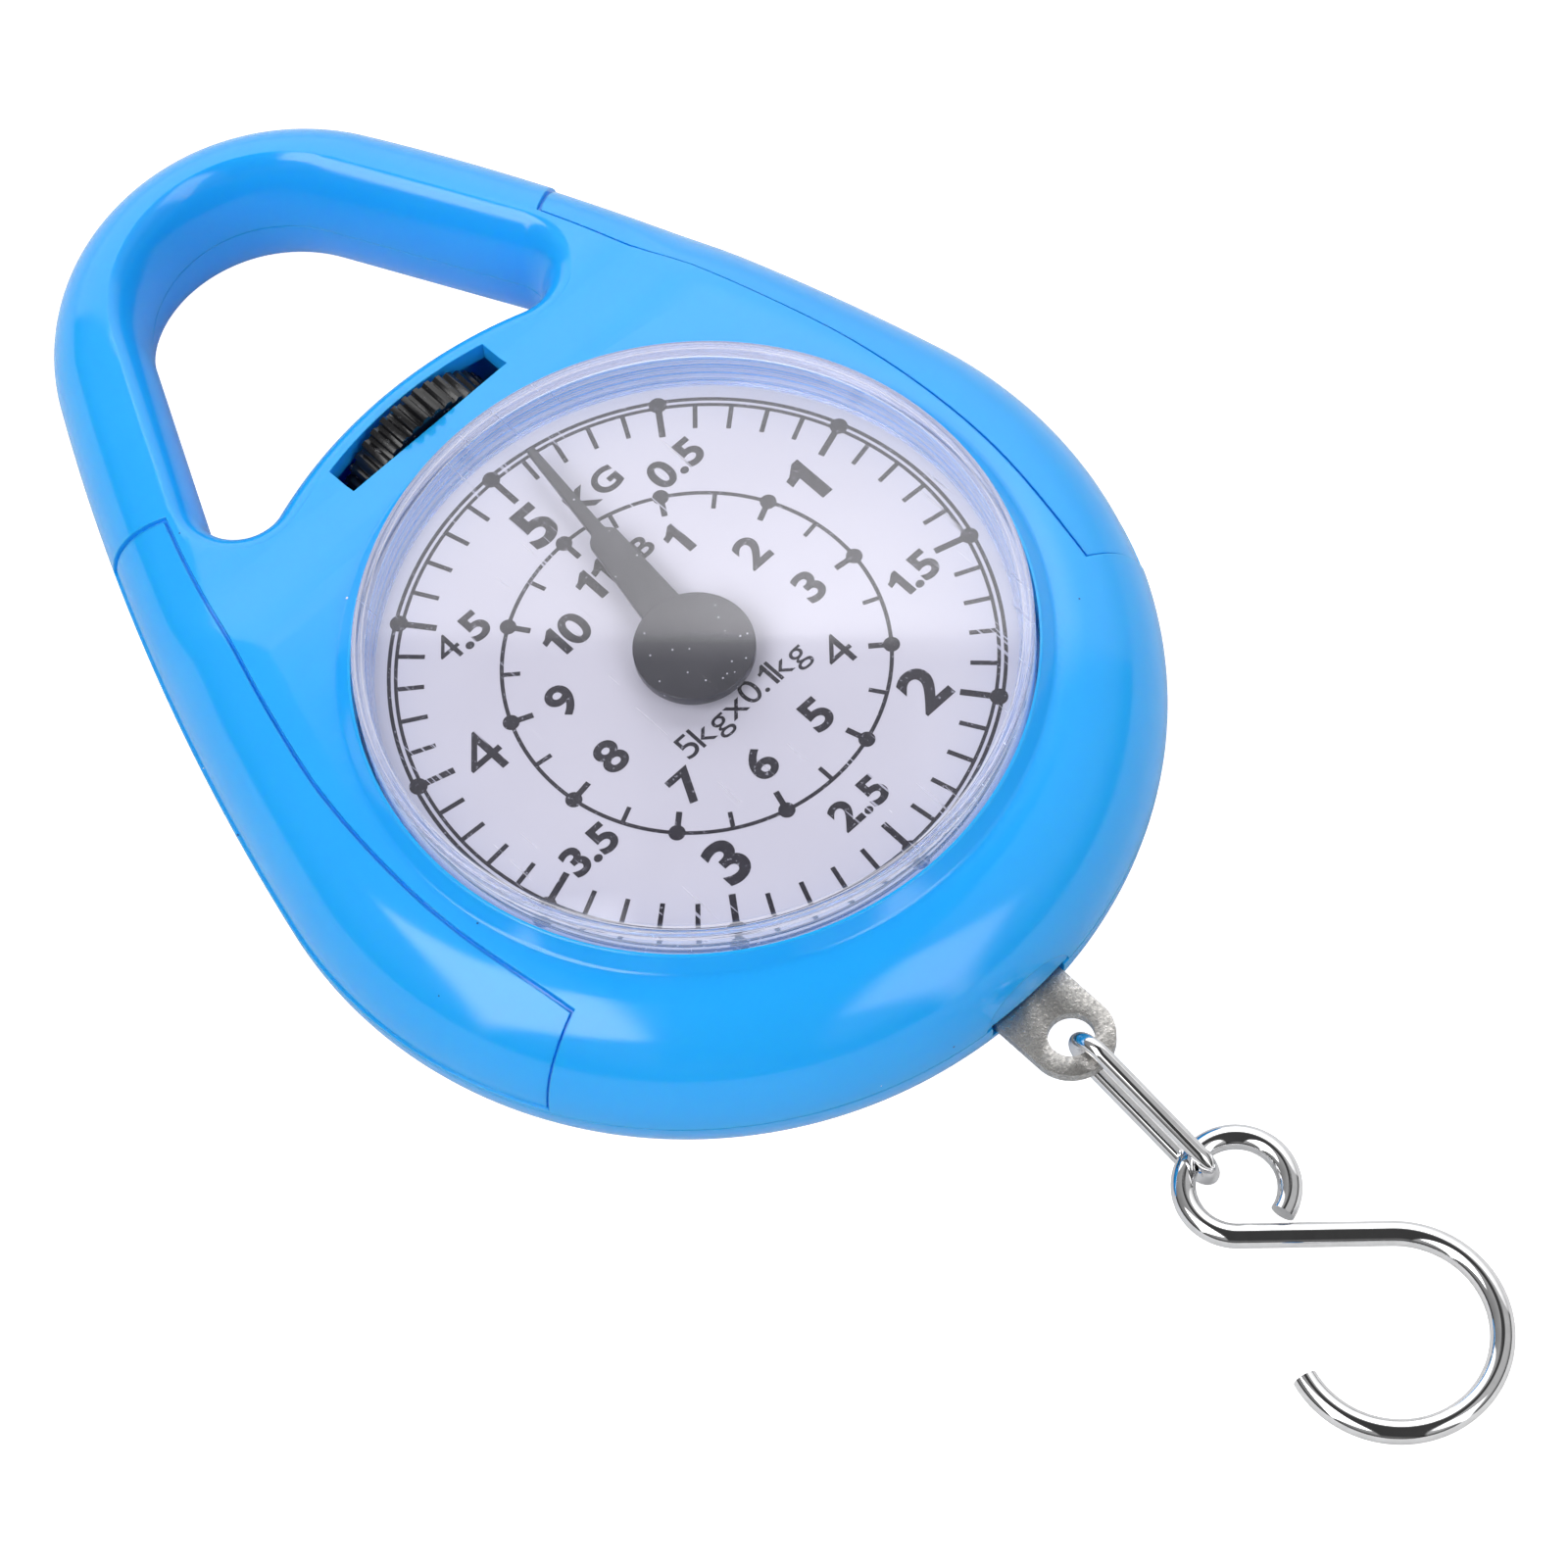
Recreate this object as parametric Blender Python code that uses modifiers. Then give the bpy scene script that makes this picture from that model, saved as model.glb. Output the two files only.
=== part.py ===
"""Pocket hanging spring scale: a two-shell plastic case with a carrying handle, a round dial under a
clear drum lens, a rack-and-pinion movement pulled by two springs, a zero wheel, and a chrome link and hook.

The scale lies on its back. Z = 0 is the back face, +Z is the dial's normal, +Y points to the handle and
-Y to the hook. The Z axis is the pointer's axis. Every length is in metres.
"""

import math

import bmesh
import bpy
from mathutils import Matrix, Vector

MM = 0.001
GAP = 0.3 * MM

# Case outline: a bottom arc, a top arc and two long side arcs, all tangent to each other.
BOTTOM_ARC_Y = 0.5 * MM
BOTTOM_ARC_R = 38.2 * MM
TOP_ARC_Y = 50.9 * MM
TOP_ARC_R = 20.45 * MM
SIDE_ARC_R = 215 * MM

# Case section: the rims are quarter ellipses that meet the flat front and back faces.
SEAM_Z = 7.3 * MM
FACE_Z = 14.9 * MM
RIM_WIDTH = 6.5 * MM
# Round the dial the face rises and the rim widens. Both ease back to the handle's over a stretch of Y.
SWELL_RISE = 2.0 * MM
SWELL_RIM = 2.2 * MM
SWELL_FULL_Y = 27.0 * MM
SWELL_END_Y = 34.5 * MM
WALL = 2.1 * MM
REAR_EDGE_Z = SEAM_Z - GAP / 2
FRONT_EDGE_Z = SEAM_Z + GAP / 2

# Handle opening: a rounded triangle with a bulging bottom edge, rounded over at both faces.
HOLE_TOP_Y = 52.7 * MM
HOLE_TOP_R = 10.9 * MM
HOLE_CORNER_X = 15.0 * MM
HOLE_CORNER_R = 3.0 * MM
HOLE_BOTTOM_R = 41.0 * MM
HOLE_BOTTOM_Y = 39.4 * MM
HOLE_FLARE = 3.0 * MM

# Side recesses of the front shell.
RECESS_DEPTH = 0.45 * MM
RECESS_EDGE = [Vector(point) * MM for point in (
    (20.6, 41.2), (22.6, 36.2), (25.0, 29.0), (27.4, 21.0), (29.4, 12.5), (30.3, 3.5), (30.1, -5.0),
    (28.35, -16.1))]
RECESS_OUTER_X = 42 * MM
RECESS_OUTER_Y = -19.9 * MM

# Window, collar, dial and lens.
WINDOW_R = 27.75 * MM
LEDGE_R = 26.4 * MM
LEDGE_Z = 13.9 * MM
COLLAR_FOOT_R = 29.35 * MM
COLLAR_FOOT_Z = 16.3 * MM
COLLAR_TOP_R = 28.05 * MM
COLLAR_TOP_Z = 18.2 * MM
DIAL_R = 27.35 * MM
DIAL_Z = 15.0 * MM
DIAL_THICKNESS = 0.8 * MM
DIAL_HOLE_R = 2.6 * MM
LENS_R = 27.45 * MM
LENS_INNER_R = 26.4 * MM
LENS_FLAT_R = 27.05 * MM
LENS_SHOULDER_Z = 20.1 * MM
LENS_TOP_Z = 20.5 * MM
LENS_FOOT_Z = DIAL_Z + GAP

# Load bar: a steel plate with a hook tab, spring ears and a slot whose right edge is a rack.
BAR_Z = 6.7 * MM
BAR_THICKNESS = 1.0 * MM
TAB_HALF_WIDTH = 3.6 * MM
TAB_HOLE_Y = -42.2 * MM
TAB_HOLE_R = 1.9 * MM
EAR_HALF_WIDTH = 15.0 * MM
EAR_LOW_Y = -21.0 * MM
EAR_HIGH_Y = -16.0 * MM
BAR_HALF_WIDTH = 5.2 * MM
BAR_TOP_Y = 16.5 * MM
SLOT_HALF_WIDTH = 2.4 * MM
SLOT_LOW_Y = -18.2 * MM
SLOT_HIGH_Y = 14.2 * MM

# Rack and pinion: one turn of the pointer is the full load.
GEAR_MODULE = 0.32 * MM
PINION_TEETH = 10
PINION_R = GEAR_MODULE * PINION_TEETH / 2
PRESSURE_ANGLE = math.radians(20)
TOOTH_PITCH = math.pi * GEAR_MODULE
RACK_TIP = 0.20 * MM
RACK_ROOT = 0.40 * MM
RACK_BACKLASH = 0.12 * MM
PINION_TIP = 0.28 * MM
PINION_ROOT = 0.36 * MM
PINION_BACKLASH = 0.06 * MM
RACK_FIRST_TOOTH = -2
RACK_LAST_TOOTH = 12

# Springs.
SPRING_X = 11.5 * MM
SPRING_R = 3.0 * MM
SPRING_WIRE_R = 0.45 * MM
SPRING_TURNS = 10
SPRING_LOOP_R = 2.0 * MM
SPRING_HOLE_R = 1.1 * MM
SPRING_LOW_HOLE_Y = -18.6 * MM
SPRING_HIGH_HOLE_Y = 23.6 * MM
POINTS_PER_TURN = 8

# Zero adjuster: the wheel is a nut on the screw that carries the springs' crosshead.
WHEEL_Z = 8.2 * MM
WHEEL_R = 8.1 * MM
WHEEL_LOW_Y = 32.4 * MM
WHEEL_HIGH_Y = 35.3 * MM
WHEEL_RIDGES = 40
WHEEL_RIDGE_DEPTH = 0.4 * MM
SCREW_R = 1.2 * MM
SCREW_END_Y = 35.8 * MM
SCREW_BORE_R = 1.55 * MM
SCREW_HEAD_R = 2.3 * MM
THREAD_PITCH = 0.5 * MM
THREAD_DEPTH = 0.2 * MM
THREADS = 12
WHEEL_SLOT_HALF_WIDTH = 8.6 * MM
WHEEL_SLOT_LOW_Y = 32.05 * MM
WHEEL_SLOT_OUTER_R = 36.2 * MM
REAR_SLOT_HALF_WIDTH = 6.5 * MM
WASHER_R = 4.5 * MM
WASHER_LOW_Y = 29.6 * MM
WASHER_HIGH_Y = 32.0 * MM
CROSSHEAD_HALF_WIDTH = 14.5 * MM
CROSSHEAD_LOW_Y = 21.4 * MM
CROSSHEAD_HIGH_Y = 25.2 * MM

# Movement: the plate that carries the pointer's arbor, its posts and the guide pin.
POST_X = 20 * MM
POST_R = 3.0 * MM
POST_TOP_Z = 10.5 * MM
PLATE_Z = 11.3 * MM
PLATE_THICKNESS = 1.0 * MM
GUIDE_PIN_Y = -15.5 * MM
ARBOR_R = 1.0 * MM
PIVOT_R = 0.8 * MM

# Pointer, turned clockwise from the dial's zero.
POINTER_ANGLE = math.radians(-8.5)
POINTER_Z = 16.9 * MM
POINTER_HUB_R = 5.0 * MM
POINTER_TIP_Y = 23.75 * MM

# Case screws.
CASE_SCREWS = [Vector(place) * MM for place in ((-26, -12), (26, -12), (-22.5, 22.5), (22.5, 22.5))]
CASE_SCREW_HEAD_R = 2.5 * MM
CASE_SCREW_SHANK_R = 1.1 * MM
CASE_SCREW_PILOT_R = 1.4 * MM
CASE_SCREW_WAY_R = 1.6 * MM
DRIVER_SLOT_LENGTH = 3.2 * MM
DRIVER_SLOT_WIDTH = 0.5 * MM
BOSS_R = 3.4 * MM

# Link and hook: the link's lower bend holds the hook's eye just above the surface that the scale lies on.
LINK_WIRE_R = 0.7 * MM
LINK_BEND_R = 2.0 * MM
LINK_TOP = Vector((0, -44.95, 6.7)) * MM
LINK_FOOT = Vector((0.45, -55.05, 2.75)) * MM
HOOK_WIRE_R = 1.0 * MM
HOOK_EYE_R = 4.2 * MM
HOOK_EYE = Vector((1.2, -59.2)) * MM
HOOK_BEND_R = 8.2 * MM
HOOK_BEND = Vector((1.3, -76.4)) * MM
HOOK_EYE_END = math.radians(-77)
HOOK_TIP = math.radians(163)
HOOK_LOW_Z = 1.05 * MM

LIBRARY = {
    "blue_plastic": ((0.055, 0.44, 0.965, 1.0), 0.25, 0.0),
    "clear_plastic": ((0.9, 0.95, 1.0, 0.25), 0.05, 0.0),
    "dial_white": ((0.83, 0.83, 0.9, 1.0), 0.5, 0.0),
    "grey_plastic": ((0.22, 0.22, 0.24, 1.0), 0.4, 0.0),
    "black_plastic": ((0.02, 0.02, 0.02, 1.0), 0.45, 0.0),
    "satin_steel": ((0.55, 0.54, 0.52, 1.0), 0.4, 1.0),
    "spring_steel": ((0.6, 0.6, 0.6, 1.0), 0.3, 1.0),
    "chrome": ((0.85, 0.85, 0.86, 1.0), 0.08, 1.0),
    "brass": ((0.72, 0.53, 0.2, 1.0), 0.3, 1.0),
    "zinc_steel": ((0.6, 0.61, 0.63, 1.0), 0.35, 1.0),
}


# ---------------------------------------------------------------- helpers

def clear_scene():
    for old in list(bpy.data.objects):
        bpy.data.objects.remove(old, do_unlink=True)


def new_collection(name):
    collection = bpy.data.collections.new(name)
    bpy.context.scene.collection.children.link(collection)
    return collection


def new_material(name):
    colour, roughness, metallic = LIBRARY[name]
    material = bpy.data.materials.new(name)
    material.use_nodes = True
    shader = material.node_tree.nodes["Principled BSDF"]
    shader.inputs["Base Color"].default_value = colour
    shader.inputs["Alpha"].default_value = colour[3]
    shader.inputs["Roughness"].default_value = roughness
    shader.inputs["Metallic"].default_value = metallic
    return material


clear_scene()
PARTS = new_collection("hanging_spring_scale")
CUTTERS = new_collection("cutters")
MATERIALS = {name: new_material(name) for name in LIBRARY}


def add(name, data, material=None):
    """Link a part, or a cutter when no material is given."""
    piece = bpy.data.objects.new(name, data)
    if material:
        data.materials.append(MATERIALS[material])
        PARTS.objects.link(piece)
    else:
        CUTTERS.objects.link(piece)
        piece.hide_render = True
        piece.display_type = "WIRE"
    return piece


def mesh_from(bm, name):
    bmesh.ops.recalc_face_normals(bm, faces=bm.faces)
    mesh = bpy.data.meshes.new(name)
    bm.to_mesh(mesh)
    bm.free()
    return mesh


def box(name, low, high, material=None):
    bm = bmesh.new()
    bmesh.ops.create_cube(bm, size=1)
    low, high = Vector(low), Vector(high)
    size = high - low
    place = Matrix.Translation((low + high) / 2) @ Matrix.Diagonal((size.x, size.y, size.z, 1))
    bmesh.ops.transform(bm, matrix=place, verts=bm.verts)
    return add(name, mesh_from(bm, name), material)


def rod(name, radius, start, end, material=None, sides=24):
    """A cylinder from one point to another."""
    start, end = Vector(start), Vector(end)
    along = end - start
    bm = bmesh.new()
    bmesh.ops.create_cone(
        bm, cap_ends=True, segments=sides, radius1=radius, radius2=radius, depth=along.length)
    turn = along.to_track_quat("Z", "Y").to_matrix().to_4x4()
    bmesh.ops.transform(bm, matrix=Matrix.Translation((start + end) / 2) @ turn, verts=bm.verts)
    return add(name, mesh_from(bm, name), material)


def turned(name, profile, material=None, steps=32, closed=False):
    """Spin (radius, z) points about Z. An open profile runs down from the axis to the axis below."""
    mesh = bpy.data.meshes.new(name)
    points = [(radius, 0, z) for radius, z in profile]
    edges = [(i, i + 1) for i in range(len(points) - 1)]
    if closed:
        edges.append((len(points) - 1, 0))
    mesh.from_pydata(points, edges, [])
    piece = add(name, mesh, material)
    screw = piece.modifiers.new("turn", "SCREW")
    screw.steps = steps
    screw.render_steps = steps
    screw.use_merge_vertices = True
    screw.merge_threshold = 0.00001
    screw.use_smooth_shade = False
    return piece


def plate(name, outlines, low_z, high_z, material=None):
    """A flat piece from an outline and its holes: a filled 2D curve, extruded and made a mesh."""
    curve = bpy.data.curves.new(name, "CURVE")
    curve.dimensions = "2D"
    curve.fill_mode = "BOTH"
    curve.extrude = (high_z - low_z) / 2
    for outline in outlines:
        spline = curve.splines.new("POLY")
        spline.points.add(len(outline) - 1)
        spline.use_cyclic_u = True
        for point, (x, y) in zip(spline.points, outline):
            point.co = (x, y, 0, 1)
    guide = bpy.data.objects.new(name + "_curve", curve)
    CUTTERS.objects.link(guide)
    bpy.context.view_layer.update()
    solid = bpy.data.meshes.new_from_object(guide.evaluated_get(bpy.context.evaluated_depsgraph_get()))
    bpy.data.objects.remove(guide, do_unlink=True)
    bm = bmesh.new()
    bm.from_mesh(solid)
    bpy.data.meshes.remove(solid)
    bmesh.ops.remove_doubles(bm, verts=bm.verts, dist=0.000001)
    bmesh.ops.translate(bm, verts=bm.verts, vec=(0, 0, (low_z + high_z) / 2))
    return add(name, mesh_from(bm, name), material)


def loft(name, rings):
    """A cutter or body whose sections are rings of equally many points, closed by a face at each end."""
    bm = bmesh.new()
    loops = [[bm.verts.new(point) for point in ring] for ring in rings]
    count = len(rings[0])
    for lower, upper in zip(loops, loops[1:]):
        for i in range(count):
            j = (i + 1) % count
            bm.faces.new((lower[i], lower[j], upper[j], upper[i]))
    bm.faces.new(loops[0])
    bm.faces.new(loops[-1])
    return mesh_from(bm, name)


def wire(name, points, radius, material, resolution=2, cyclic=False):
    """A round wire along points, as a bevelled curve."""
    curve = bpy.data.curves.new(name, "CURVE")
    curve.dimensions = "3D"
    curve.bevel_depth = radius
    curve.bevel_resolution = resolution
    curve.use_fill_caps = not cyclic
    spline = curve.splines.new("POLY")
    spline.points.add(len(points) - 1)
    spline.use_cyclic_u = cyclic
    for point, place in zip(spline.points, points):
        point.co = (*place, 1)
    return add(name, curve, material)


def boolean(piece, other, operation):
    step = piece.modifiers.new(operation.lower() + "_" + other.name, "BOOLEAN")
    step.operation = operation
    step.solver = "EXACT"
    step.object = other


def cut(piece, *cutters):
    for cutter in cutters:
        boolean(piece, cutter, "DIFFERENCE")


def join(piece, *others):
    for other in others:
        boolean(piece, other, "UNION")


def arc(centre, radius, start, end, segments):
    """Points of an arc, both ends included. Angles are in radians."""
    points = []
    for i in range(segments + 1):
        angle = start + (end - start) * i / segments
        points.append((centre[0] + radius * math.cos(angle), centre[1] + radius * math.sin(angle)))
    return points


def circle(centre, radius, segments=24):
    return arc(centre, radius, 0, 2 * math.pi, segments)[:-1]


def mirrored(half):
    """A closed outline from its right half, which runs from the bottom of the Y axis to the top."""
    left = [(-x, y) for x, y in reversed(half) if x > 0.00001]
    return half + left


def at_height(outline, z):
    return [(x, y, z) for x, y in outline]


# ---------------------------------------------------------------- outlines of the case

def case_outline(inset=0.0):
    """The case outline, moved inwards by inset."""
    span = TOP_ARC_Y - BOTTOM_ARC_Y
    to_bottom = SIDE_ARC_R - BOTTOM_ARC_R
    to_top = SIDE_ARC_R - TOP_ARC_R
    rise = (to_bottom ** 2 - to_top ** 2 + span ** 2) / (2 * span)
    side_x = -math.sqrt(to_bottom ** 2 - rise ** 2)
    side_y = BOTTOM_ARC_Y + rise
    low_angle = math.atan2(BOTTOM_ARC_Y - side_y, -side_x)
    high_angle = math.atan2(TOP_ARC_Y - side_y, -side_x)
    bottom = arc((0, BOTTOM_ARC_Y), BOTTOM_ARC_R - inset, -math.pi / 2, low_angle, 12)
    side = arc((side_x, side_y), SIDE_ARC_R - inset, low_angle, high_angle, 9)
    top = arc((0, TOP_ARC_Y), TOP_ARC_R - inset, high_angle, math.pi / 2, 6)
    return mirrored(bottom + side[1:-1] + top)


def hole_outline(grow=0.0):
    """The handle opening's outline, moved outwards by grow."""
    bottom_centre_y = HOLE_BOTTOM_Y - HOLE_BOTTOM_R
    corner_y = bottom_centre_y + math.sqrt((HOLE_BOTTOM_R + HOLE_CORNER_R) ** 2 - HOLE_CORNER_X ** 2)
    corner = (HOLE_CORNER_X, corner_y)
    across, down = HOLE_CORNER_X, corner_y - HOLE_TOP_Y
    tilt = math.asin((HOLE_TOP_R - HOLE_CORNER_R) / math.hypot(across, down))
    side_angle = math.atan2(down, across) + math.pi / 2 - tilt
    meet_angle = math.atan2(corner_y - bottom_centre_y, HOLE_CORNER_X)
    bottom = arc((0, bottom_centre_y), HOLE_BOTTOM_R - grow, math.pi / 2, meet_angle, 4)
    turn = arc(corner, HOLE_CORNER_R + grow, meet_angle - math.pi, side_angle, 6)
    top = arc((0, HOLE_TOP_Y), HOLE_TOP_R + grow, side_angle, math.pi / 2, 6)
    return mirrored(bottom + turn[1:] + top)


def rim(inset_width, edge_z, face_z, steps=5):
    """(inset, z) pairs of a quarter-ellipse rim from the seam to a face."""
    pairs = [(0.0, edge_z)]
    for i in range(1, steps + 1):
        angle = math.pi / 2 * i / steps
        pairs.append((inset_width * (1 - math.cos(angle)), SEAM_Z + (face_z - SEAM_Z) * math.sin(angle)))
    return pairs


def rear_body():
    """The rear half's outside, with a flat back."""
    section = rim(RIM_WIDTH, REAR_EDGE_Z, 0.0)
    return loft("rear_shell", [at_height(case_outline(inset), z) for inset, z in section])


def swell(y):
    """1 round the dial and 0 at the handle."""
    share = min(1.0, max(0.0, (SWELL_END_Y - y) / (SWELL_END_Y - SWELL_FULL_Y)))
    return share * share * (3 - 2 * share)


def front_body(name, edge_z, shrink=0.0):
    """The front half's outside, whose rim and face swell round the dial. The face is ruled across X."""
    rings = []
    for inset, z in rim(RIM_WIDTH, edge_z, FACE_Z - shrink):
        wider = inset * (1 + SWELL_RIM / RIM_WIDTH)
        taller = z + max(0.0, z - SEAM_Z) * SWELL_RISE / (FACE_Z - SEAM_Z)
        ring = []
        for narrow, wide in zip(case_outline(inset + shrink), case_outline(wider + shrink)):
            share = swell(narrow[1])
            ring.append((narrow[0] + share * (wide[0] - narrow[0]), narrow[1] + share * (wide[1] - narrow[1]),
                         z + share * (taller - z)))
        rings.append(ring)
    bm = bmesh.new()
    loops = [[bm.verts.new(point) for point in ring] for ring in rings]
    count = len(rings[0])
    for lower, upper in zip(loops, loops[1:]):
        for i in range(count):
            j = (i + 1) % count
            bm.faces.new((lower[i], lower[j], upper[j], upper[i]))
    face = loops[-1]
    half = count // 2
    bm.faces.new((face[0], face[1], face[-1]))
    for i in range(1, half - 1):
        bm.faces.new((face[i], face[i + 1], face[count - i - 1], face[count - i]))
    bm.faces.new((face[half - 1], face[half], face[half + 1]))
    bm.faces.new(loops[0])
    return mesh_from(bm, name)


def handle_cutter():
    """A spool through the handle opening that rounds its edges over at both faces."""
    rings = [at_height(hole_outline(HOLE_FLARE), -2 * MM)]
    steps = 4
    for step in range(-steps, steps + 1):
        angle = math.pi / 2 * step / steps
        grow = HOLE_FLARE * (1 - math.cos(angle))
        reach = FACE_Z - SEAM_Z if step > 0 else SEAM_Z
        rings.append(at_height(hole_outline(grow), SEAM_Z + reach * math.sin(angle)))
    rings.append(at_height(hole_outline(HOLE_FLARE), FACE_Z + 2 * MM))
    return add("cut_handle", loft("cut_handle", rings))


def cavity(name, pairs):
    """The hollow of a half shell, which leaves a wall round the handle opening."""
    hollow = add(name, loft(name, [at_height(case_outline(inset), z) for inset, z in pairs]))
    island = add(name + "_island", loft(name + "_island", [
        at_height(hole_outline(WALL), -1 * MM), at_height(hole_outline(WALL), FACE_Z + 1 * MM)]))
    cut(hollow, island)
    return hollow


# ---------------------------------------------------------------- shells

def upright(name, radius, place, low_z, high_z, sides=20):
    """A cylinder on a place of the XY plane."""
    return rod(name, radius, (place[0], place[1], low_z), (place[0], place[1], high_z), sides=sides)


def wheel_slot(name, half_width, low_z, high_z):
    """The zero wheel's slot, straight beside the dial and on its far side an arc about the dial's axis."""
    half_angle = math.asin(half_width / WHEEL_SLOT_OUTER_R)
    far_side = arc((0, 0), WHEEL_SLOT_OUTER_R, math.pi / 2 - half_angle, math.pi / 2 + half_angle, 8)
    outline = [(-half_width, WHEEL_SLOT_LOW_Y), (half_width, WHEEL_SLOT_LOW_Y)] + far_side
    return plate(name, [outline], low_z, high_z)


def front_shell(handle, bar_exit, stem_way):
    shell = add("front_shell", front_body("front_shell", FRONT_EDGE_Z), "blue_plastic")
    roof = FACE_Z - WALL
    hollow = cavity("front_cavity", ((WALL, SEAM_Z - 1 * MM), (WALL, 10 * MM), (1.7 * WALL, 12 * MM),
                                     (2.7 * WALL, roof)))
    collar_inner = WINDOW_R - 0.5 * MM
    join(shell, turned("collar", (
        (collar_inner, COLLAR_TOP_Z), (COLLAR_TOP_R, COLLAR_TOP_Z), (COLLAR_FOOT_R, COLLAR_FOOT_Z),
        (COLLAR_FOOT_R, LEDGE_Z), (collar_inner, LEDGE_Z)), steps=64, closed=True))
    cut(shell, hollow, handle)
    rooted = roof + 0.5 * MM
    for number, place in enumerate(CASE_SCREWS, 1):
        join(shell, upright(f"front_boss_{number}", BOSS_R, place, FRONT_EDGE_Z, rooted))
    join(shell, box("front_rib", (-7 * MM, 27.6 * MM, FRONT_EDGE_Z), (7 * MM, 29.2 * MM, rooted)))
    for number, place in enumerate(CASE_SCREWS, 1):
        pilot = upright(f"front_pilot_{number}", CASE_SCREW_PILOT_R, place, SEAM_Z - 1 * MM, roof - GAP, 16)
        cut(shell, pilot)
    window = turned("window", (
        (0, FACE_Z + 6 * MM), (WINDOW_R, FACE_Z + 6 * MM), (WINDOW_R, LEDGE_Z), (LEDGE_R, LEDGE_Z),
        (LEDGE_R, roof - 0.6 * MM), (0, roof - 0.6 * MM)), steps=64)
    slot = wheel_slot("front_slot", WHEEL_SLOT_HALF_WIDTH, roof - 1 * MM, FACE_Z + 1 * MM)
    cut(shell, window, slot, bar_exit, stem_way, side_recesses())
    return shell


def side_recesses():
    """A skin on both sides of the front shell, from the case surface to the same surface sunk a little."""
    inner = [tuple(point) for point in RECESS_EDGE]
    right = [(RECESS_OUTER_X, inner[0][1])] + inner + [(RECESS_OUTER_X, RECESS_OUTER_Y)]
    left = [(-x, y) for x, y in right]
    low, high = FRONT_EDGE_Z + 0.4 * MM, FACE_Z + 3 * MM
    skin = plate("recess_right", [right], low, high)
    join(skin, plate("recess_left", [left], low, high))
    cut(skin, add("recess_floor", front_body("recess_floor", SEAM_Z - 3 * MM, RECESS_DEPTH)))
    return skin


def rear_shell(handle, bar_exit, stem_way):
    shell = add("rear_shell", rear_body(), "blue_plastic")
    floor = WALL
    hollow = cavity("rear_cavity", ((2.7 * WALL, floor), (1.7 * WALL, 3.4 * MM), (WALL, 5.2 * MM),
                                    (WALL, SEAM_Z + 1 * MM)))
    cut(shell, hollow, handle)
    rooted = floor - 0.5 * MM
    posts = [(-POST_X, 0), (POST_X, 0)]
    guide = (0, GUIDE_PIN_Y)
    for number, place in enumerate(CASE_SCREWS, 1):
        join(shell, upright(f"rear_boss_{number}", BOSS_R, place, rooted, REAR_EDGE_Z))
    for number, place in enumerate(posts, 1):
        join(shell, upright(f"post_{number}", POST_R, place, rooted, POST_TOP_Z))
    join(shell,
         upright("bush_boss", 3.4 * MM, (0, 0), rooted, 4.4 * MM),
         upright("guide_boss", 3.6 * MM, guide, rooted, BAR_Z - 1.0 * MM),
         box("rear_rib", (-7 * MM, 27.6 * MM, rooted), (7 * MM, 29.2 * MM, REAR_EDGE_Z)))
    for number, place in enumerate(CASE_SCREWS, 1):
        cut(shell,
            upright(f"rear_way_{number}", CASE_SCREW_WAY_R, place, -1 * MM, 9 * MM, 16),
            upright(f"rear_sink_{number}", CASE_SCREW_HEAD_R + GAP, place, -1 * MM, 2.2 * MM))
    for number, place in enumerate(posts, 1):
        cut(shell, upright(f"post_way_{number}", 1.4 * MM, place, 5 * MM, 12 * MM, 16))
    cut(shell,
        upright("bush_way", 2.3 * MM, (0, 0), floor, 6 * MM, 24),
        upright("guide_way", 1.5 * MM, guide, 2.4 * MM, 8 * MM, 24),
        wheel_slot("rear_slot", REAR_SLOT_HALF_WIDTH, -1 * MM, floor + 1 * MM),
        bar_exit, stem_way)
    return shell


def case_screws():
    for number, place in enumerate(CASE_SCREWS, 1):
        screw = turned(f"case_screw_{number}", (
            (0, 11.5 * MM), (CASE_SCREW_SHANK_R - 0.1 * MM, 10.5 * MM), (CASE_SCREW_SHANK_R, 1.9 * MM),
            (CASE_SCREW_HEAD_R, 1.9 * MM), (CASE_SCREW_HEAD_R, 0.7 * MM),
            (CASE_SCREW_HEAD_R - 0.4 * MM, 0.4 * MM), (0, 0.4 * MM)), "zinc_steel", steps=20)
        screw.location = place.to_3d()
        half_long, half_short = DRIVER_SLOT_LENGTH / 2, DRIVER_SLOT_WIDTH / 2
        for index, (x, y) in enumerate(((half_long, half_short), (half_short, half_long))):
            slot = box(f"driver_slot_{number}_{index}", (-x, -y, 0), (x, y, 1.1 * MM))
            slot.location = screw.location
            cut(screw, slot)


# ---------------------------------------------------------------- dial, lens and pointer

def dial_and_lens():
    turned("dial_plate", (
        (DIAL_HOLE_R, DIAL_Z), (DIAL_R, DIAL_Z), (DIAL_R, DIAL_Z - DIAL_THICKNESS),
        (DIAL_HOLE_R, DIAL_Z - DIAL_THICKNESS)), "dial_white", steps=48, closed=True)
    bevel_r, bevel_z = (LENS_R + LENS_FLAT_R) / 2, LENS_TOP_Z - 0.12 * MM
    ceiling = LENS_TOP_Z - 1.5 * MM
    turned("lens", (
        (0, LENS_TOP_Z), (LENS_FLAT_R, LENS_TOP_Z), (bevel_r, bevel_z), (LENS_R, LENS_SHOULDER_Z),
        (LENS_R, LENS_FOOT_Z), (LENS_INNER_R, LENS_FOOT_Z), (LENS_INNER_R, ceiling - 0.4 * MM),
        (LENS_INNER_R - 0.4 * MM, ceiling), (0, ceiling)),
        "clear_plastic", steps=48)


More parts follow.
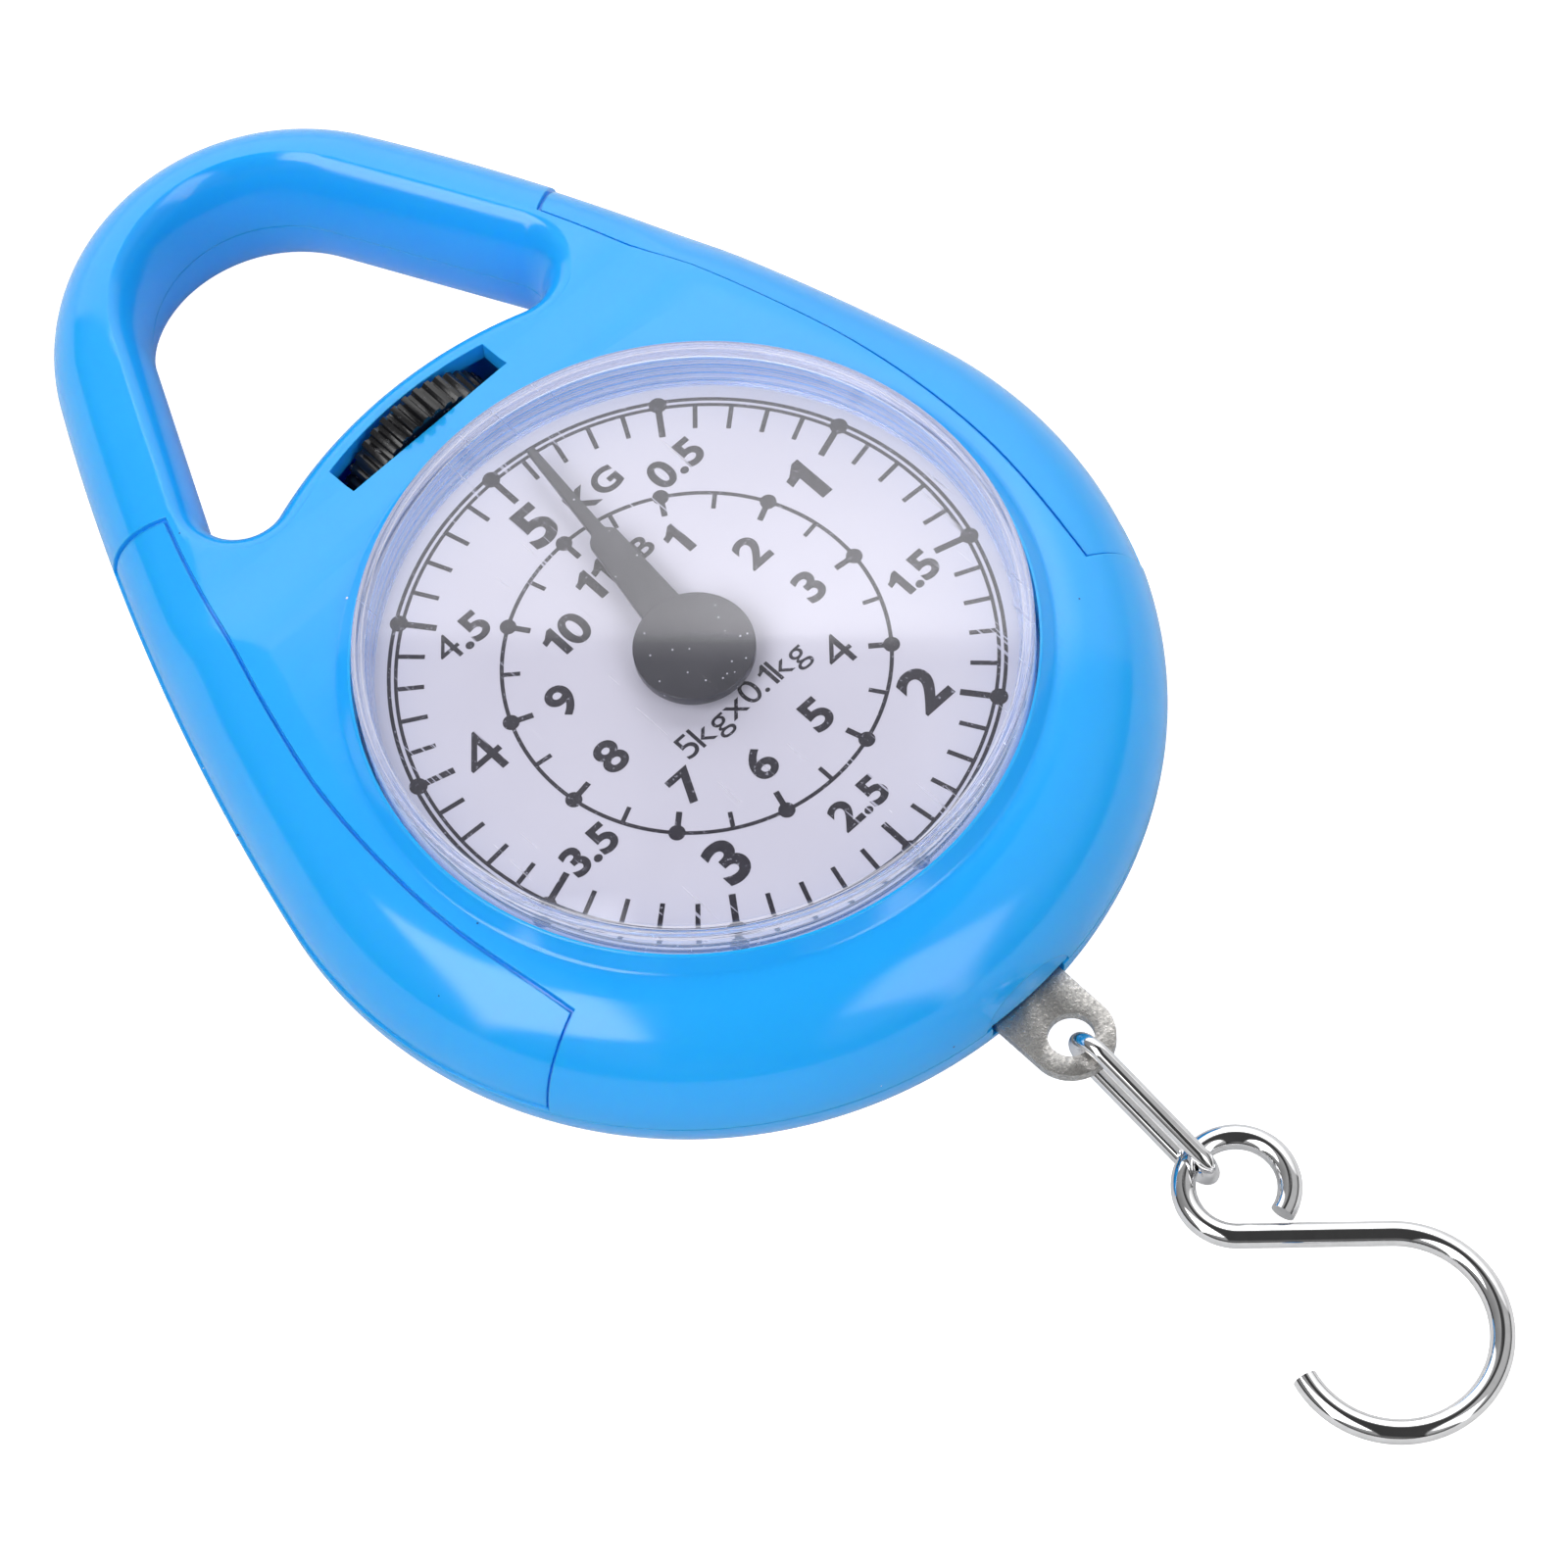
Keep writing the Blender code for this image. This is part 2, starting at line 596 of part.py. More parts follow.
def pointer():
    """A blade with a broad root and a thin needle, on a round hub with a blind bore."""
    right = [(2.1 * MM, 0), (1.35 * MM, 13 * MM), (0.65 * MM, 13.8 * MM), (0.35 * MM, POINTER_TIP_Y)]
    blade = right + [(-x, y) for x, y in reversed(right)]
    piece = plate("pointer", [blade], POINTER_Z - 0.3 * MM, POINTER_Z + 0.3 * MM, "grey_plastic")
    top, foot, boss_foot = POINTER_Z + 0.5 * MM, POINTER_Z - 0.5 * MM, POINTER_Z - 1.4 * MM
    boss_r = 1.9 * MM
    hub = turned("pointer_hub", (
        (0, top), (POINTER_HUB_R - 0.3 * MM, top), (POINTER_HUB_R, top - 0.3 * MM), (POINTER_HUB_R, foot),
        (boss_r, foot), (boss_r, boss_foot), (0, boss_foot)), steps=32)
    join(piece, hub)
    bore_r = ARBOR_R + 0.12 * MM
    cut(piece, upright("pointer_bore", bore_r, (0, 0), POINTER_Z - 2 * MM, POINTER_Z + 0.1 * MM, 16))
    piece.rotation_euler.z = POINTER_ANGLE


# ---------------------------------------------------------------- movement

def tooth_half_angle(radius):
    """Half the angle that a pinion tooth spans at a radius: involute flanks above the base circle."""
    base = PINION_R * math.cos(PRESSURE_ANGLE)
    at_pitch = (TOOTH_PITCH / 2 - PINION_BACKLASH) / 2 / PINION_R
    flank = math.acos(base / max(radius, base))
    return at_pitch + (math.tan(PRESSURE_ANGLE) - PRESSURE_ANGLE) - (math.tan(flank) - flank)


def pinion_outline():
    """Teeth placed so that a gap between two of them faces the rack."""
    points = []
    radii = (PINION_R - PINION_ROOT, PINION_R - 0.1 * MM, PINION_R + PINION_TIP)
    for tooth in range(PINION_TEETH):
        middle = 2 * math.pi * (tooth + 0.5) / PINION_TEETH
        flank = [(radius, tooth_half_angle(radius)) for radius in radii]
        for radius, half in flank:
            points.append((radius * math.cos(middle - half), radius * math.sin(middle - half)))
        for radius, half in reversed(flank):
            points.append((radius * math.cos(middle + half), radius * math.sin(middle + half)))
    return points


def pinion_arbor():
    piece = plate("pinion_arbor", [pinion_outline()], 5.5 * MM, 7.9 * MM, "brass")
    join(piece, turned("arbor_shaft", (
        (0, 16.8 * MM), (ARBOR_R, 16.8 * MM), (ARBOR_R, 5.2 * MM), (PIVOT_R, 5.2 * MM), (PIVOT_R, 2.7 * MM),
        (0, 2.7 * MM)), steps=16))


def bushes():
    rear = ("rear_bush", 2.4 * MM, 4.6 * MM, 2.0 * MM, PIVOT_R)
    front = ("front_bush", 10.5 * MM, 12.1 * MM, 1.9 * MM, ARBOR_R)
    for name, low, high, outer, bore in (rear, front):
        inner = bore + 0.07 * MM
        profile = ((inner, high), (outer, high), (outer, low), (inner, low))
        turned(name, profile, "brass", steps=24, closed=True)


def movement_plate():
    half_length, half_width = POST_X + 4 * MM, 4.5 * MM
    low, high = PLATE_Z - PLATE_THICKNESS / 2, PLATE_Z + PLATE_THICKNESS / 2
    right = arc((half_length - half_width, 0), half_width, -math.pi / 2, math.pi / 2, 8)
    outline = right + [(-x, -y) for x, y in right]
    holes = [circle((0, 0), 1.9 * MM + GAP)]
    holes += [circle((x, 0), 1.5 * MM, 16) for x in (-POST_X, POST_X)]
    plate("movement_plate", [outline] + holes, low, high, "brass")
    for name, side in (("movement_screw_left", -1), ("movement_screw_right", 1)):
        screw = turned(name, (
            (0, high + 1.5 * MM), (1.8 * MM, high + 1.5 * MM), (2.2 * MM, high + 1.1 * MM),
            (2.2 * MM, high + GAP), (1.1 * MM, high + GAP), (1.1 * MM, 6.2 * MM), (0, 5.6 * MM)),
            "zinc_steel", steps=20)
        screw.location.x = side * POST_X
        slot = box(name + "_slot", (-3 * MM, -0.3 * MM, high + 1.0 * MM), (3 * MM, 0.3 * MM, high + 3 * MM))
        slot.location = screw.location
        cut(screw, slot)


def guide_pin():
    """A shouldered pin in the bar's slot; its head keeps the bar down."""
    bar_top = BAR_Z + BAR_THICKNESS / 2
    pin = turned("guide_pin", (
        (0, bar_top + 1.2 * MM), (3.4 * MM, bar_top + 1.2 * MM), (3.4 * MM, bar_top + GAP),
        (2.1 * MM, bar_top + GAP), (2.1 * MM, BAR_Z - 0.7 * MM), (1.2 * MM, BAR_Z - 0.7 * MM),
        (1.2 * MM, 2.8 * MM), (0, 2.8 * MM)), "brass", steps=24)
    pin.location.y = GUIDE_PIN_Y


def rack_edge():
    """The slot's right edge from bottom to top, with teeth pointing to the pinion."""
    root_x, tip_x = PINION_R + RACK_ROOT, PINION_R - RACK_TIP
    at_pitch = (TOOTH_PITCH / 2 - RACK_BACKLASH) / 2
    root_half = at_pitch + RACK_ROOT * math.tan(PRESSURE_ANGLE)
    tip_half = at_pitch - RACK_TIP * math.tan(PRESSURE_ANGLE)
    points = []
    for tooth in range(RACK_FIRST_TOOTH, RACK_LAST_TOOTH + 1):
        y = tooth * TOOTH_PITCH
        points += [(root_x, y - root_half), (tip_x, y - tip_half)]
        points += [(tip_x, y + tip_half), (root_x, y + root_half)]
    return points


def load_bar():
    tab = arc((0, TAB_HOLE_Y), TAB_HALF_WIDTH, -math.pi / 2, 0, 8)
    half = tab + [(TAB_HALF_WIDTH, EAR_LOW_Y - 4 * MM), (EAR_HALF_WIDTH - 2 * MM, EAR_LOW_Y),
                  (EAR_HALF_WIDTH, EAR_LOW_Y + 2 * MM), (EAR_HALF_WIDTH, EAR_HIGH_Y),
                  (BAR_HALF_WIDTH, EAR_HIGH_Y), (BAR_HALF_WIDTH, BAR_TOP_Y - 1.5 * MM),
                  (BAR_HALF_WIDTH - 1.5 * MM, BAR_TOP_Y)]
    outline = mirrored(half)
    rack = rack_edge()
    step_y = rack[0][1] - 0.5 * MM
    slot = [(-SLOT_HALF_WIDTH, SLOT_LOW_Y), (SLOT_HALF_WIDTH, SLOT_LOW_Y), (SLOT_HALF_WIDTH, step_y),
            (rack[0][0], step_y)]
    slot += rack + [(rack[-1][0], SLOT_HIGH_Y), (-SLOT_HALF_WIDTH, SLOT_HIGH_Y)]
    holes = [slot, circle((0, TAB_HOLE_Y), TAB_HOLE_R)]
    holes += [circle((side * SPRING_X, SPRING_LOW_HOLE_Y), SPRING_HOLE_R, 16) for side in (-1, 1)]
    plate("load_bar", [outline] + holes, BAR_Z - BAR_THICKNESS / 2, BAR_Z + BAR_THICKNESS / 2, "satin_steel")


def spring_points(x):
    """A hook loop through the bar's ear, the close-wound coil, and a hook loop through the crosshead."""
    low_loop_y = SPRING_LOW_HOLE_Y + SPRING_LOOP_R
    high_loop_y = SPRING_HIGH_HOLE_Y - SPRING_LOOP_R
    coil_low = low_loop_y + SPRING_LOOP_R + 0.8 * MM
    coil_high = high_loop_y - SPRING_LOOP_R - 0.8 * MM
    low_loop = [(x, low_loop_y + SPRING_LOOP_R * math.cos(a), BAR_Z + SPRING_LOOP_R * math.sin(a))
                for a in [math.radians(50 + 310 * i / 8) for i in range(9)]]
    turn_in = 4
    coil = []
    total = SPRING_TURNS * POINTS_PER_TURN
    for i in range(total + 1):
        grow = min(1.0, (i + 1) / turn_in, (total - i + 1) / turn_in)
        angle = 2 * math.pi * i / POINTS_PER_TURN
        y = coil_low + (coil_high - coil_low) * i / total
        coil.append((x + grow * SPRING_R * math.cos(angle), y, BAR_Z + grow * SPRING_R * math.sin(angle)))
    high_loop = [(x, high_loop_y - SPRING_LOOP_R * math.cos(a), BAR_Z + SPRING_LOOP_R * math.sin(a))
                 for a in [math.radians(310 * i / 8) for i in range(9)]]
    return low_loop + coil + high_loop


def springs():
    wire("spring_left", spring_points(-SPRING_X), SPRING_WIRE_R, "spring_steel", resolution=1)
    wire("spring_right", spring_points(SPRING_X), SPRING_WIRE_R, "spring_steel", resolution=1)


# ---------------------------------------------------------------- zero adjuster

def crosshead():
    low_z, high_z = BAR_Z - 0.8 * MM, BAR_Z + 0.8 * MM
    half = [(0, CROSSHEAD_LOW_Y), (CROSSHEAD_HALF_WIDTH, CROSSHEAD_LOW_Y),
            (CROSSHEAD_HALF_WIDTH, CROSSHEAD_HIGH_Y), (0, CROSSHEAD_HIGH_Y)]
    outline = [point for point in mirrored(half) if point[0]]
    holes = [circle((side * SPRING_X, SPRING_HIGH_HOLE_Y), SPRING_HOLE_R, 16) for side in (-1, 1)]
    piece = plate("crosshead", [outline] + holes, low_z, high_z, "brass")
    join(piece, box("crosshead_block", (-4 * MM, CROSSHEAD_LOW_Y + 0.2 * MM, low_z + 0.2 * MM),
                    (4 * MM, CROSSHEAD_HIGH_Y - 0.2 * MM, WHEEL_Z + 3 * MM)))
    cut(piece, rod("crosshead_bore", SCREW_R + GAP, (0, CROSSHEAD_LOW_Y - 2 * MM, WHEEL_Z),
                   (0, CROSSHEAD_HIGH_Y + 2 * MM, WHEEL_Z), sides=20))


def along_y(piece):
    """Turn a piece made about Z so that its axis is the zero screw's, with +Z towards the handle."""
    piece.rotation_euler.x = math.radians(-90)
    piece.location.z = WHEEL_Z


def zero_screw():
    """The threaded stem, with its head below the crosshead. Its ring grooves stand for the thread."""
    head_top = CROSSHEAD_LOW_Y - GAP
    head_foot = head_top - 1.0 * MM
    thread_top = SCREW_END_Y - 0.5 * MM
    profile = [(0, SCREW_END_Y), (SCREW_R - 0.4 * MM, SCREW_END_Y)]
    for i in range(THREADS):
        z = thread_top - i * THREAD_PITCH
        profile += [(SCREW_R, z), (SCREW_R - THREAD_DEPTH, z - THREAD_PITCH / 2)]
    profile += [(SCREW_R, thread_top - THREADS * THREAD_PITCH), (SCREW_R, head_top), (SCREW_HEAD_R, head_top),
                (SCREW_HEAD_R, head_foot), (0, head_foot)]
    along_y(turned("zero_screw", profile, "zinc_steel", steps=12))


def zero_wheel():
    """The ridged wheel, with a ridge at every other point of its rim."""
    points = []
    for i in range(2 * WHEEL_RIDGES):
        radius = WHEEL_R - (i % 2) * WHEEL_RIDGE_DEPTH
        angle = math.pi * i / WHEEL_RIDGES
        points.append((radius * math.cos(angle), radius * math.sin(angle)))
    bore = circle((0, 0), SCREW_BORE_R, 20)
    wheel = plate("zero_wheel", [points, bore], WHEEL_LOW_Y, WHEEL_HIGH_Y, "black_plastic")
    along_y(wheel)


def thrust_washer():
    """A spacer that keeps the wheel off the case's rib."""
    washer = turned("thrust_washer", (
        (SCREW_BORE_R, WASHER_HIGH_Y), (WASHER_R, WASHER_HIGH_Y), (WASHER_R, WASHER_LOW_Y),
        (SCREW_BORE_R, WASHER_LOW_Y)), "satin_steel", steps=24, closed=True)
    along_y(washer)


# ---------------------------------------------------------------- link and hook

def link():
    """A narrow closed loop of wire in the upright plane through the tab's hole and the hook's eye."""
    along = (LINK_FOOT - LINK_TOP).normalized()
    up = (Vector((0, 0, 1)) - along * along.z).normalized()
    points = []
    for centre, start in ((LINK_TOP, 90), (LINK_FOOT, 270)):
        for i in range(11):
            angle = math.radians(start + 18 * i)
            points.append(centre + LINK_BEND_R * (math.cos(angle) * along + math.sin(angle) * up))
    wire("link", points, LINK_WIRE_R, "chrome", resolution=3, cyclic=True)


def hook_plane_z(y):
    """Height of the hook's wire: it leans from the link's foot down to the surface under the big bend."""
    low_y = HOOK_BEND.y - HOOK_BEND_R
    return HOOK_LOW_Z + (LINK_FOOT.z - HOOK_LOW_Z) * (y - low_y) / (LINK_FOOT.y - low_y)


def hook():
    """An S of wire: the eye, a straight shank tangent to both bends, and the big bend with its open tip."""
    between = HOOK_BEND - HOOK_EYE
    lean = math.asin((HOOK_EYE_R + HOOK_BEND_R) / between.length)
    shank_angle = math.atan2(between.y, between.x) + lean
    full_turn = 2 * math.pi
    eye = arc(HOOK_EYE, HOOK_EYE_R, HOOK_EYE_END, shank_angle - math.pi / 2 + full_turn, 20)
    bend = arc(HOOK_BEND, HOOK_BEND_R, shank_angle + math.pi / 2, HOOK_TIP - full_turn, 24)
    points = [(x, y, hook_plane_z(y)) for x, y in eye + bend]
    wire("hook", points, HOOK_WIRE_R, "chrome", resolution=3)


def main():
    handle = handle_cutter()
    bar_exit = box("bar_exit", (-TAB_HALF_WIDTH - 0.4 * MM, -42 * MM, BAR_Z - 0.9 * MM),
                   (TAB_HALF_WIDTH + 0.4 * MM, -32 * MM, BAR_Z + 0.9 * MM))
    stem_way = rod("stem_way", SCREW_R + 0.5 * MM, (0, 26 * MM, WHEEL_Z), (0, 30 * MM, WHEEL_Z), sides=20)
    front_shell(handle, bar_exit, stem_way)
    rear_shell(handle, bar_exit, stem_way)
    case_screws()
    dial_and_lens()
    pointer()
    pinion_arbor()
    bushes()
    movement_plate()
    guide_pin()
    load_bar()
    springs()
    crosshead()
    zero_screw()
    zero_wheel()
    thrust_washer()
    link()
    hook()


main()
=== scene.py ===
import math

import bmesh
import bpy
from mathutils import Matrix, Vector

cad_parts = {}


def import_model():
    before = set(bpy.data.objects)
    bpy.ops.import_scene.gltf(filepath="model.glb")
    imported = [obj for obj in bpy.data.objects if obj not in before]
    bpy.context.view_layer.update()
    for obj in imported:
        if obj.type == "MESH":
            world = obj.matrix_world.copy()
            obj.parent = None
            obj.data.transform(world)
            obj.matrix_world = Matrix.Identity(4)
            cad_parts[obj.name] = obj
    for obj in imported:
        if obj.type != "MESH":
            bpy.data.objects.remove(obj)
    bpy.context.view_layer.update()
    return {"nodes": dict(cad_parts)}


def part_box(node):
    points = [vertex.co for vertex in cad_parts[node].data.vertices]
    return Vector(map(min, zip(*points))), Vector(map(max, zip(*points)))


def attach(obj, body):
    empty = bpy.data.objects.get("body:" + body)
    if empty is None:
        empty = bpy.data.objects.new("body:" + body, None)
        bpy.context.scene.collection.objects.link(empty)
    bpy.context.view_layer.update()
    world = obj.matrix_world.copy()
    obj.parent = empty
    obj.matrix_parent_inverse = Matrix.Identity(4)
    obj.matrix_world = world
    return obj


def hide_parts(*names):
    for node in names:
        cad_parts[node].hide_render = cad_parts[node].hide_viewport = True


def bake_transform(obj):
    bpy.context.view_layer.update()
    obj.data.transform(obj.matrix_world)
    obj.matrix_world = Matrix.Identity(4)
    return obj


# Looks for a pocket hanging scale. It lies on its back: +Z is the dial's normal, +Y points to the handle and
# -Y to the hook. Every length is in metres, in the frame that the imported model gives.

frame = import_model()

MM = 0.001
# How far a cutting shape passes through what it cuts.
OVERCUT = 1 * MM

# Case outline and section, as in the CAD model.
BOTTOM_ARC_Y = 0.5 * MM
BOTTOM_ARC_R = 38.2 * MM
TOP_ARC_Y = 50.9 * MM
TOP_ARC_R = 20.45 * MM
SIDE_ARC_R = 215 * MM
SEAM_Z = 7.3 * MM
SEAM_GAP = 0.1 * MM
FACE_Z = 14.9 * MM
RIM_WIDTH = 6.5 * MM
RIM_STEPS = 20
WALL = 2.1 * MM
FLOOR_Z = WALL
ROOF_Z = FACE_Z - WALL
SWELL_RISE = 2.0 * MM
SWELL_RIM = 2.2 * MM
SWELL_FULL_Y = 27.0 * MM
SWELL_END_Y = 34.5 * MM
# Section of the space inside each shell, as (distance in from the outline, z).
FRONT_SPACE = ((WALL, SEAM_Z - OVERCUT), (WALL, 10 * MM), (1.7 * WALL, 12 * MM), (2.7 * WALL, ROOF_Z))
REAR_SPACE = ((2.7 * WALL, FLOOR_Z), (1.7 * WALL, 3.4 * MM), (WALL, 5.2 * MM), (WALL, SEAM_Z + OVERCUT))
# Lowest edge of a cutting shape that follows the front's surface.
CUTTER_EDGE_Z = SEAM_Z - 3 * MM

# The handle's opening.
HOLE_TOP_Y = 52.7 * MM
HOLE_TOP_R = 10.9 * MM
HOLE_CORNER_X = 15.0 * MM
HOLE_CORNER_R = 3.0 * MM
HOLE_BOTTOM_R = 41.0 * MM
HOLE_BOTTOM_Y = 39.4 * MM
HOLE_FLARE = 3.0 * MM
HOLE_FLARE_STEPS = 16
HOLE_OVERCUT = 2 * MM

# The step and the groove at each side.
RECESS_DEPTH = 0.2 * MM
RECESS_LOW_Z = SEAM_Z + 0.4 * MM
RECESS_HIGH_Z = FACE_Z + 3 * MM
RECESS_EDGE = [Vector(point) * MM for point in (
    (20.9, 41.8), (22.8, 36.4), (25.0, 29.0), (27.4, 21.0), (29.4, 12.5), (30.3, 3.5), (30.1, -5.0),
    (28.35, -16.1))]
RECESS_OUTER_X = 42 * MM
RECESS_OUTER_LOW_Y = -19.9 * MM
RECESS_OUTER_HIGH_Y = 55.9 * MM
GROOVE_WIDTH = 0.3 * MM
GROOVE_DEPTH = 0.42 * MM

# The collar round the lens, and the opening in it. Its edge and foot are offsets in mm, as (radius, z).
WINDOW_R = 27.75 * MM
WINDOW_HIGH_Z = FACE_Z + 6 * MM
WINDOW_LOW_Z = ROOF_Z - 0.6 * MM
LEDGE_R = 26.4 * MM
LEDGE_Z = 13.9 * MM
COLLAR_INNER_R = WINDOW_R - 0.5 * MM
COLLAR_FOOT_R = 28.95 * MM
COLLAR_FOOT_Z = FACE_Z + SWELL_RISE
COLLAR_TOP_R = 28.05 * MM
COLLAR_TOP_Z = 18.2 * MM
COLLAR_EDGE = ((-0.2, -0.04), (-0.06, -0.1), (0.0, -0.24))
COLLAR_FOOT = ((-0.12, 0.22), (0.02, 0.08), (0.25, -0.02), (0.4, -0.6))
ROUND_STEPS = 192

DIAL_R = 27.35 * MM
DIAL_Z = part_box("dial_plate")[1].z
DIAL_HOLE_R = 2.6 * MM
DIAL_THICKNESS = 0.8 * MM

# The lens. Its edges are offsets in mm, as (radius, z), from its top corner and from its inner corner.
LENS_R = 27.45 * MM
LENS_INNER_R = 26.4 * MM
LENS_THICKNESS = 1.5 * MM
LENS_TOP_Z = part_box("lens")[1].z
LENS_FOOT_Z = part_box("lens")[0].z
LENS_EDGE = ((-0.50, 0.0), (-0.33, -0.025), (-0.18, -0.10), (-0.06, -0.22), (0.0, -0.40))
LENS_INNER_EDGE = ((0.0, -0.25), (-0.07, -0.08), (-0.24, 0.0))

WHEEL_Z = 8.2 * MM
WHEEL_R = 8.1 * MM
WHEEL_LOW_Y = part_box("zero_wheel")[0].y
WHEEL_HIGH_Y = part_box("zero_wheel")[1].y
WHEEL_RIDGES = 40
WHEEL_RIDGE_DEPTH = 0.4 * MM
# One ridge's section: the share of the pitch, and the share of the depth.
WHEEL_RIDGE_SHAPE = ((-0.19, 0.0), (0.19, 0.0), (0.36, 1.0), (0.64, 1.0))
WHEEL_BORE_R = 1.55 * MM
WHEEL_SLOT_HALF_WIDTH = 8.6 * MM
WHEEL_SLOT_LOW_Y = 32.05 * MM
WHEEL_SLOT_OUTER_R = 36.2 * MM
REAR_SLOT_HALF_WIDTH = 6.5 * MM

BAR_Z = 6.7 * MM
BAR_THICKNESS = 1.0 * MM
TAB_HALF_WIDTH = 3.6 * MM
TAB_HOLE_Y = -42.2 * MM
TAB_HOLE_R = 1.9 * MM
EAR_HALF_WIDTH = 15.0 * MM
EAR_LOW_Y = -21.0 * MM
EAR_HIGH_Y = -16.0 * MM
EAR_CHAMFER = 2 * MM
EAR_SHOULDER = 4 * MM
BAR_HALF_WIDTH = 5.2 * MM
BAR_TOP_Y = 16.5 * MM
BAR_TOP_CHAMFER = 1.5 * MM
SLOT_HALF_WIDTH = 2.4 * MM
SLOT_LOW_Y = -18.2 * MM
SLOT_HIGH_Y = 14.2 * MM
TOOTH_PITCH = math.pi * 0.32 * MM
TOOTH_ROOT_HALF = 0.34
TOOTH_TIP_HALF = 0.12
RACK_TIP_X = 1.4 * MM
RACK_ROOT_X = 2.0 * MM
RACK_TEETH = range(-2, 13)
RACK_STEP = 0.5 * MM

# The bar's exit through the case's end, and the shallow arched panel round it.
EXIT_SIDE_GAP = 0.4 * MM
EXIT_HALF_HEIGHT = 0.9 * MM
EXIT_Y = (-42 * MM, -32 * MM)
ARCH_HALF_WIDTH = 4.6 * MM
ARCH_TOP_Z = 10.2 * MM
ARCH_LOW_Z = SEAM_Z - 0.6 * MM
ARCH_DEPTH = 0.12 * MM
ARCH_Y = (-45 * MM, -30 * MM)

SPRING_X = 11.5 * MM
SPRING_R = 3.0 * MM
SPRING_WIRE_R = 0.45 * MM
SPRING_TURNS = 10
SPRING_STEPS = 24
SPRING_LOOP_R = 2.0 * MM
SPRING_LOOP_SWEEP = 310
SPRING_LOW_LOOP_START = 50
SPRING_NECK = 0.8 * MM
SPRING_NECK_STEPS = 12
SPRING_LOW_HOLE_Y = -18.6 * MM
SPRING_HIGH_HOLE_Y = 23.6 * MM
SPRING_HOLE_R = 1.1 * MM
# A distance from a hole's middle along the wire. Nothing that is drawn depends on it.
SPRING_HOLD = 1 * MM

POINTER_ANGLE = math.radians(-8.5)
POINTER_Z = 16.9 * MM
POINTER_HALF_DEPTH = 0.3 * MM
POINTER_TIP_Y = 23.75 * MM
# The blade's right side in millimetres, up to its tip.
POINTER_SIDE = ((2.1, 0), (1.35, 12.9), (1.15, 13.3), (0.72, 13.7), (0.62, 14.0))
POINTER_TIP_HALF = 0.35 * MM
POINTER_HUB_R = 5.0 * MM
POINTER_HUB_HALF_HEIGHT = 0.5 * MM
POINTER_STEM_R = 1.9 * MM
POINTER_STEM_LENGTH = 0.9 * MM

SCREW_PLACES = [Vector(place) * MM for place in ((-26, -12), (26, -12), (-22.5, 22.5), (22.5, 22.5))]
SCREW_HEAD_R = 2.5 * MM
SCREW_BORE_R = 1.6 * MM
SCREW_BORE_TOP_Z = 9 * MM
SCREW_SINK_R = SCREW_HEAD_R + 0.3 * MM
SCREW_SINK_Z = 2.2 * MM
SCREW_TOP_Z = 1.9 * MM
# The head's rounded face in millimetres: (inwards from the head's radius, z).
SCREW_FACE = ((0.0, 0.8), (0.12, 0.55), (0.5, 0.4))
SCREW_MIDDLE_Z = 0.34 * MM
CROSS_HALF_LENGTH = 1.5 * MM
CROSS_HALF_WIDTH = 0.27 * MM
CROSS_DEPTH_Z = 1.1 * MM
BOSS_R = 3.4 * MM
BOSS_GAP = 0.2 * MM
BOSS_ROOT = 0.5 * MM

LINK_WIRE_R = 0.7 * MM
LINK_BEND_R = 2.0 * MM
LINK_BEND_STEPS = 32
LINK_TOP = Vector((0, -44.95, 6.7)) * MM
LINK_FOOT = Vector((0.45, -55.05, 2.75)) * MM
HOOK_WIRE_R = 1.0 * MM
HOOK_EYE_R = 4.2 * MM
HOOK_EYE = Vector((1.2, -59.2)) * MM
HOOK_BEND_R = 8.2 * MM
HOOK_BEND = Vector((1.3, -76.4)) * MM
HOOK_EYE_END = math.radians(-77)
HOOK_TIP = math.radians(163)
HOOK_LOW_Z = 1.05 * MM

# Printing on the dial. Marks differ in height, so that no two of them share a face.
PRINT_R = 25.0 * MM
PRINT_HEIGHT = 0.02 * MM
TICK_HEIGHT = 0.9 * PRINT_HEIGHT
RING_HEIGHT = 0.8 * PRINT_HEIGHT
RINGS = [(inner * MM, outer * MM) for inner, outer in ((25.12, 25.44), (24.56, 24.86), (15.81, 16.14))]
# A scale's steps in a turn, one in "every" of which has a long tick and a dot. A tick is (start, width) and a
# dot is (distance, radius). Starts, ends and distances are in dial radii.
KILOGRAM_SCALE = {"steps": 50, "every": 5, "end": 0.986, "long": (0.872, 0.56 * MM),
                  "short": (0.895, 0.40 * MM), "dots": (1.0, 0.76 * MM)}
POUND_SCALE = {"steps": 22, "every": 2, "end": 0.639, "long": (0.563, 0.50 * MM),
               "short": (0.578, 0.38 * MM), "dots": (0.639, 0.70 * MM)}

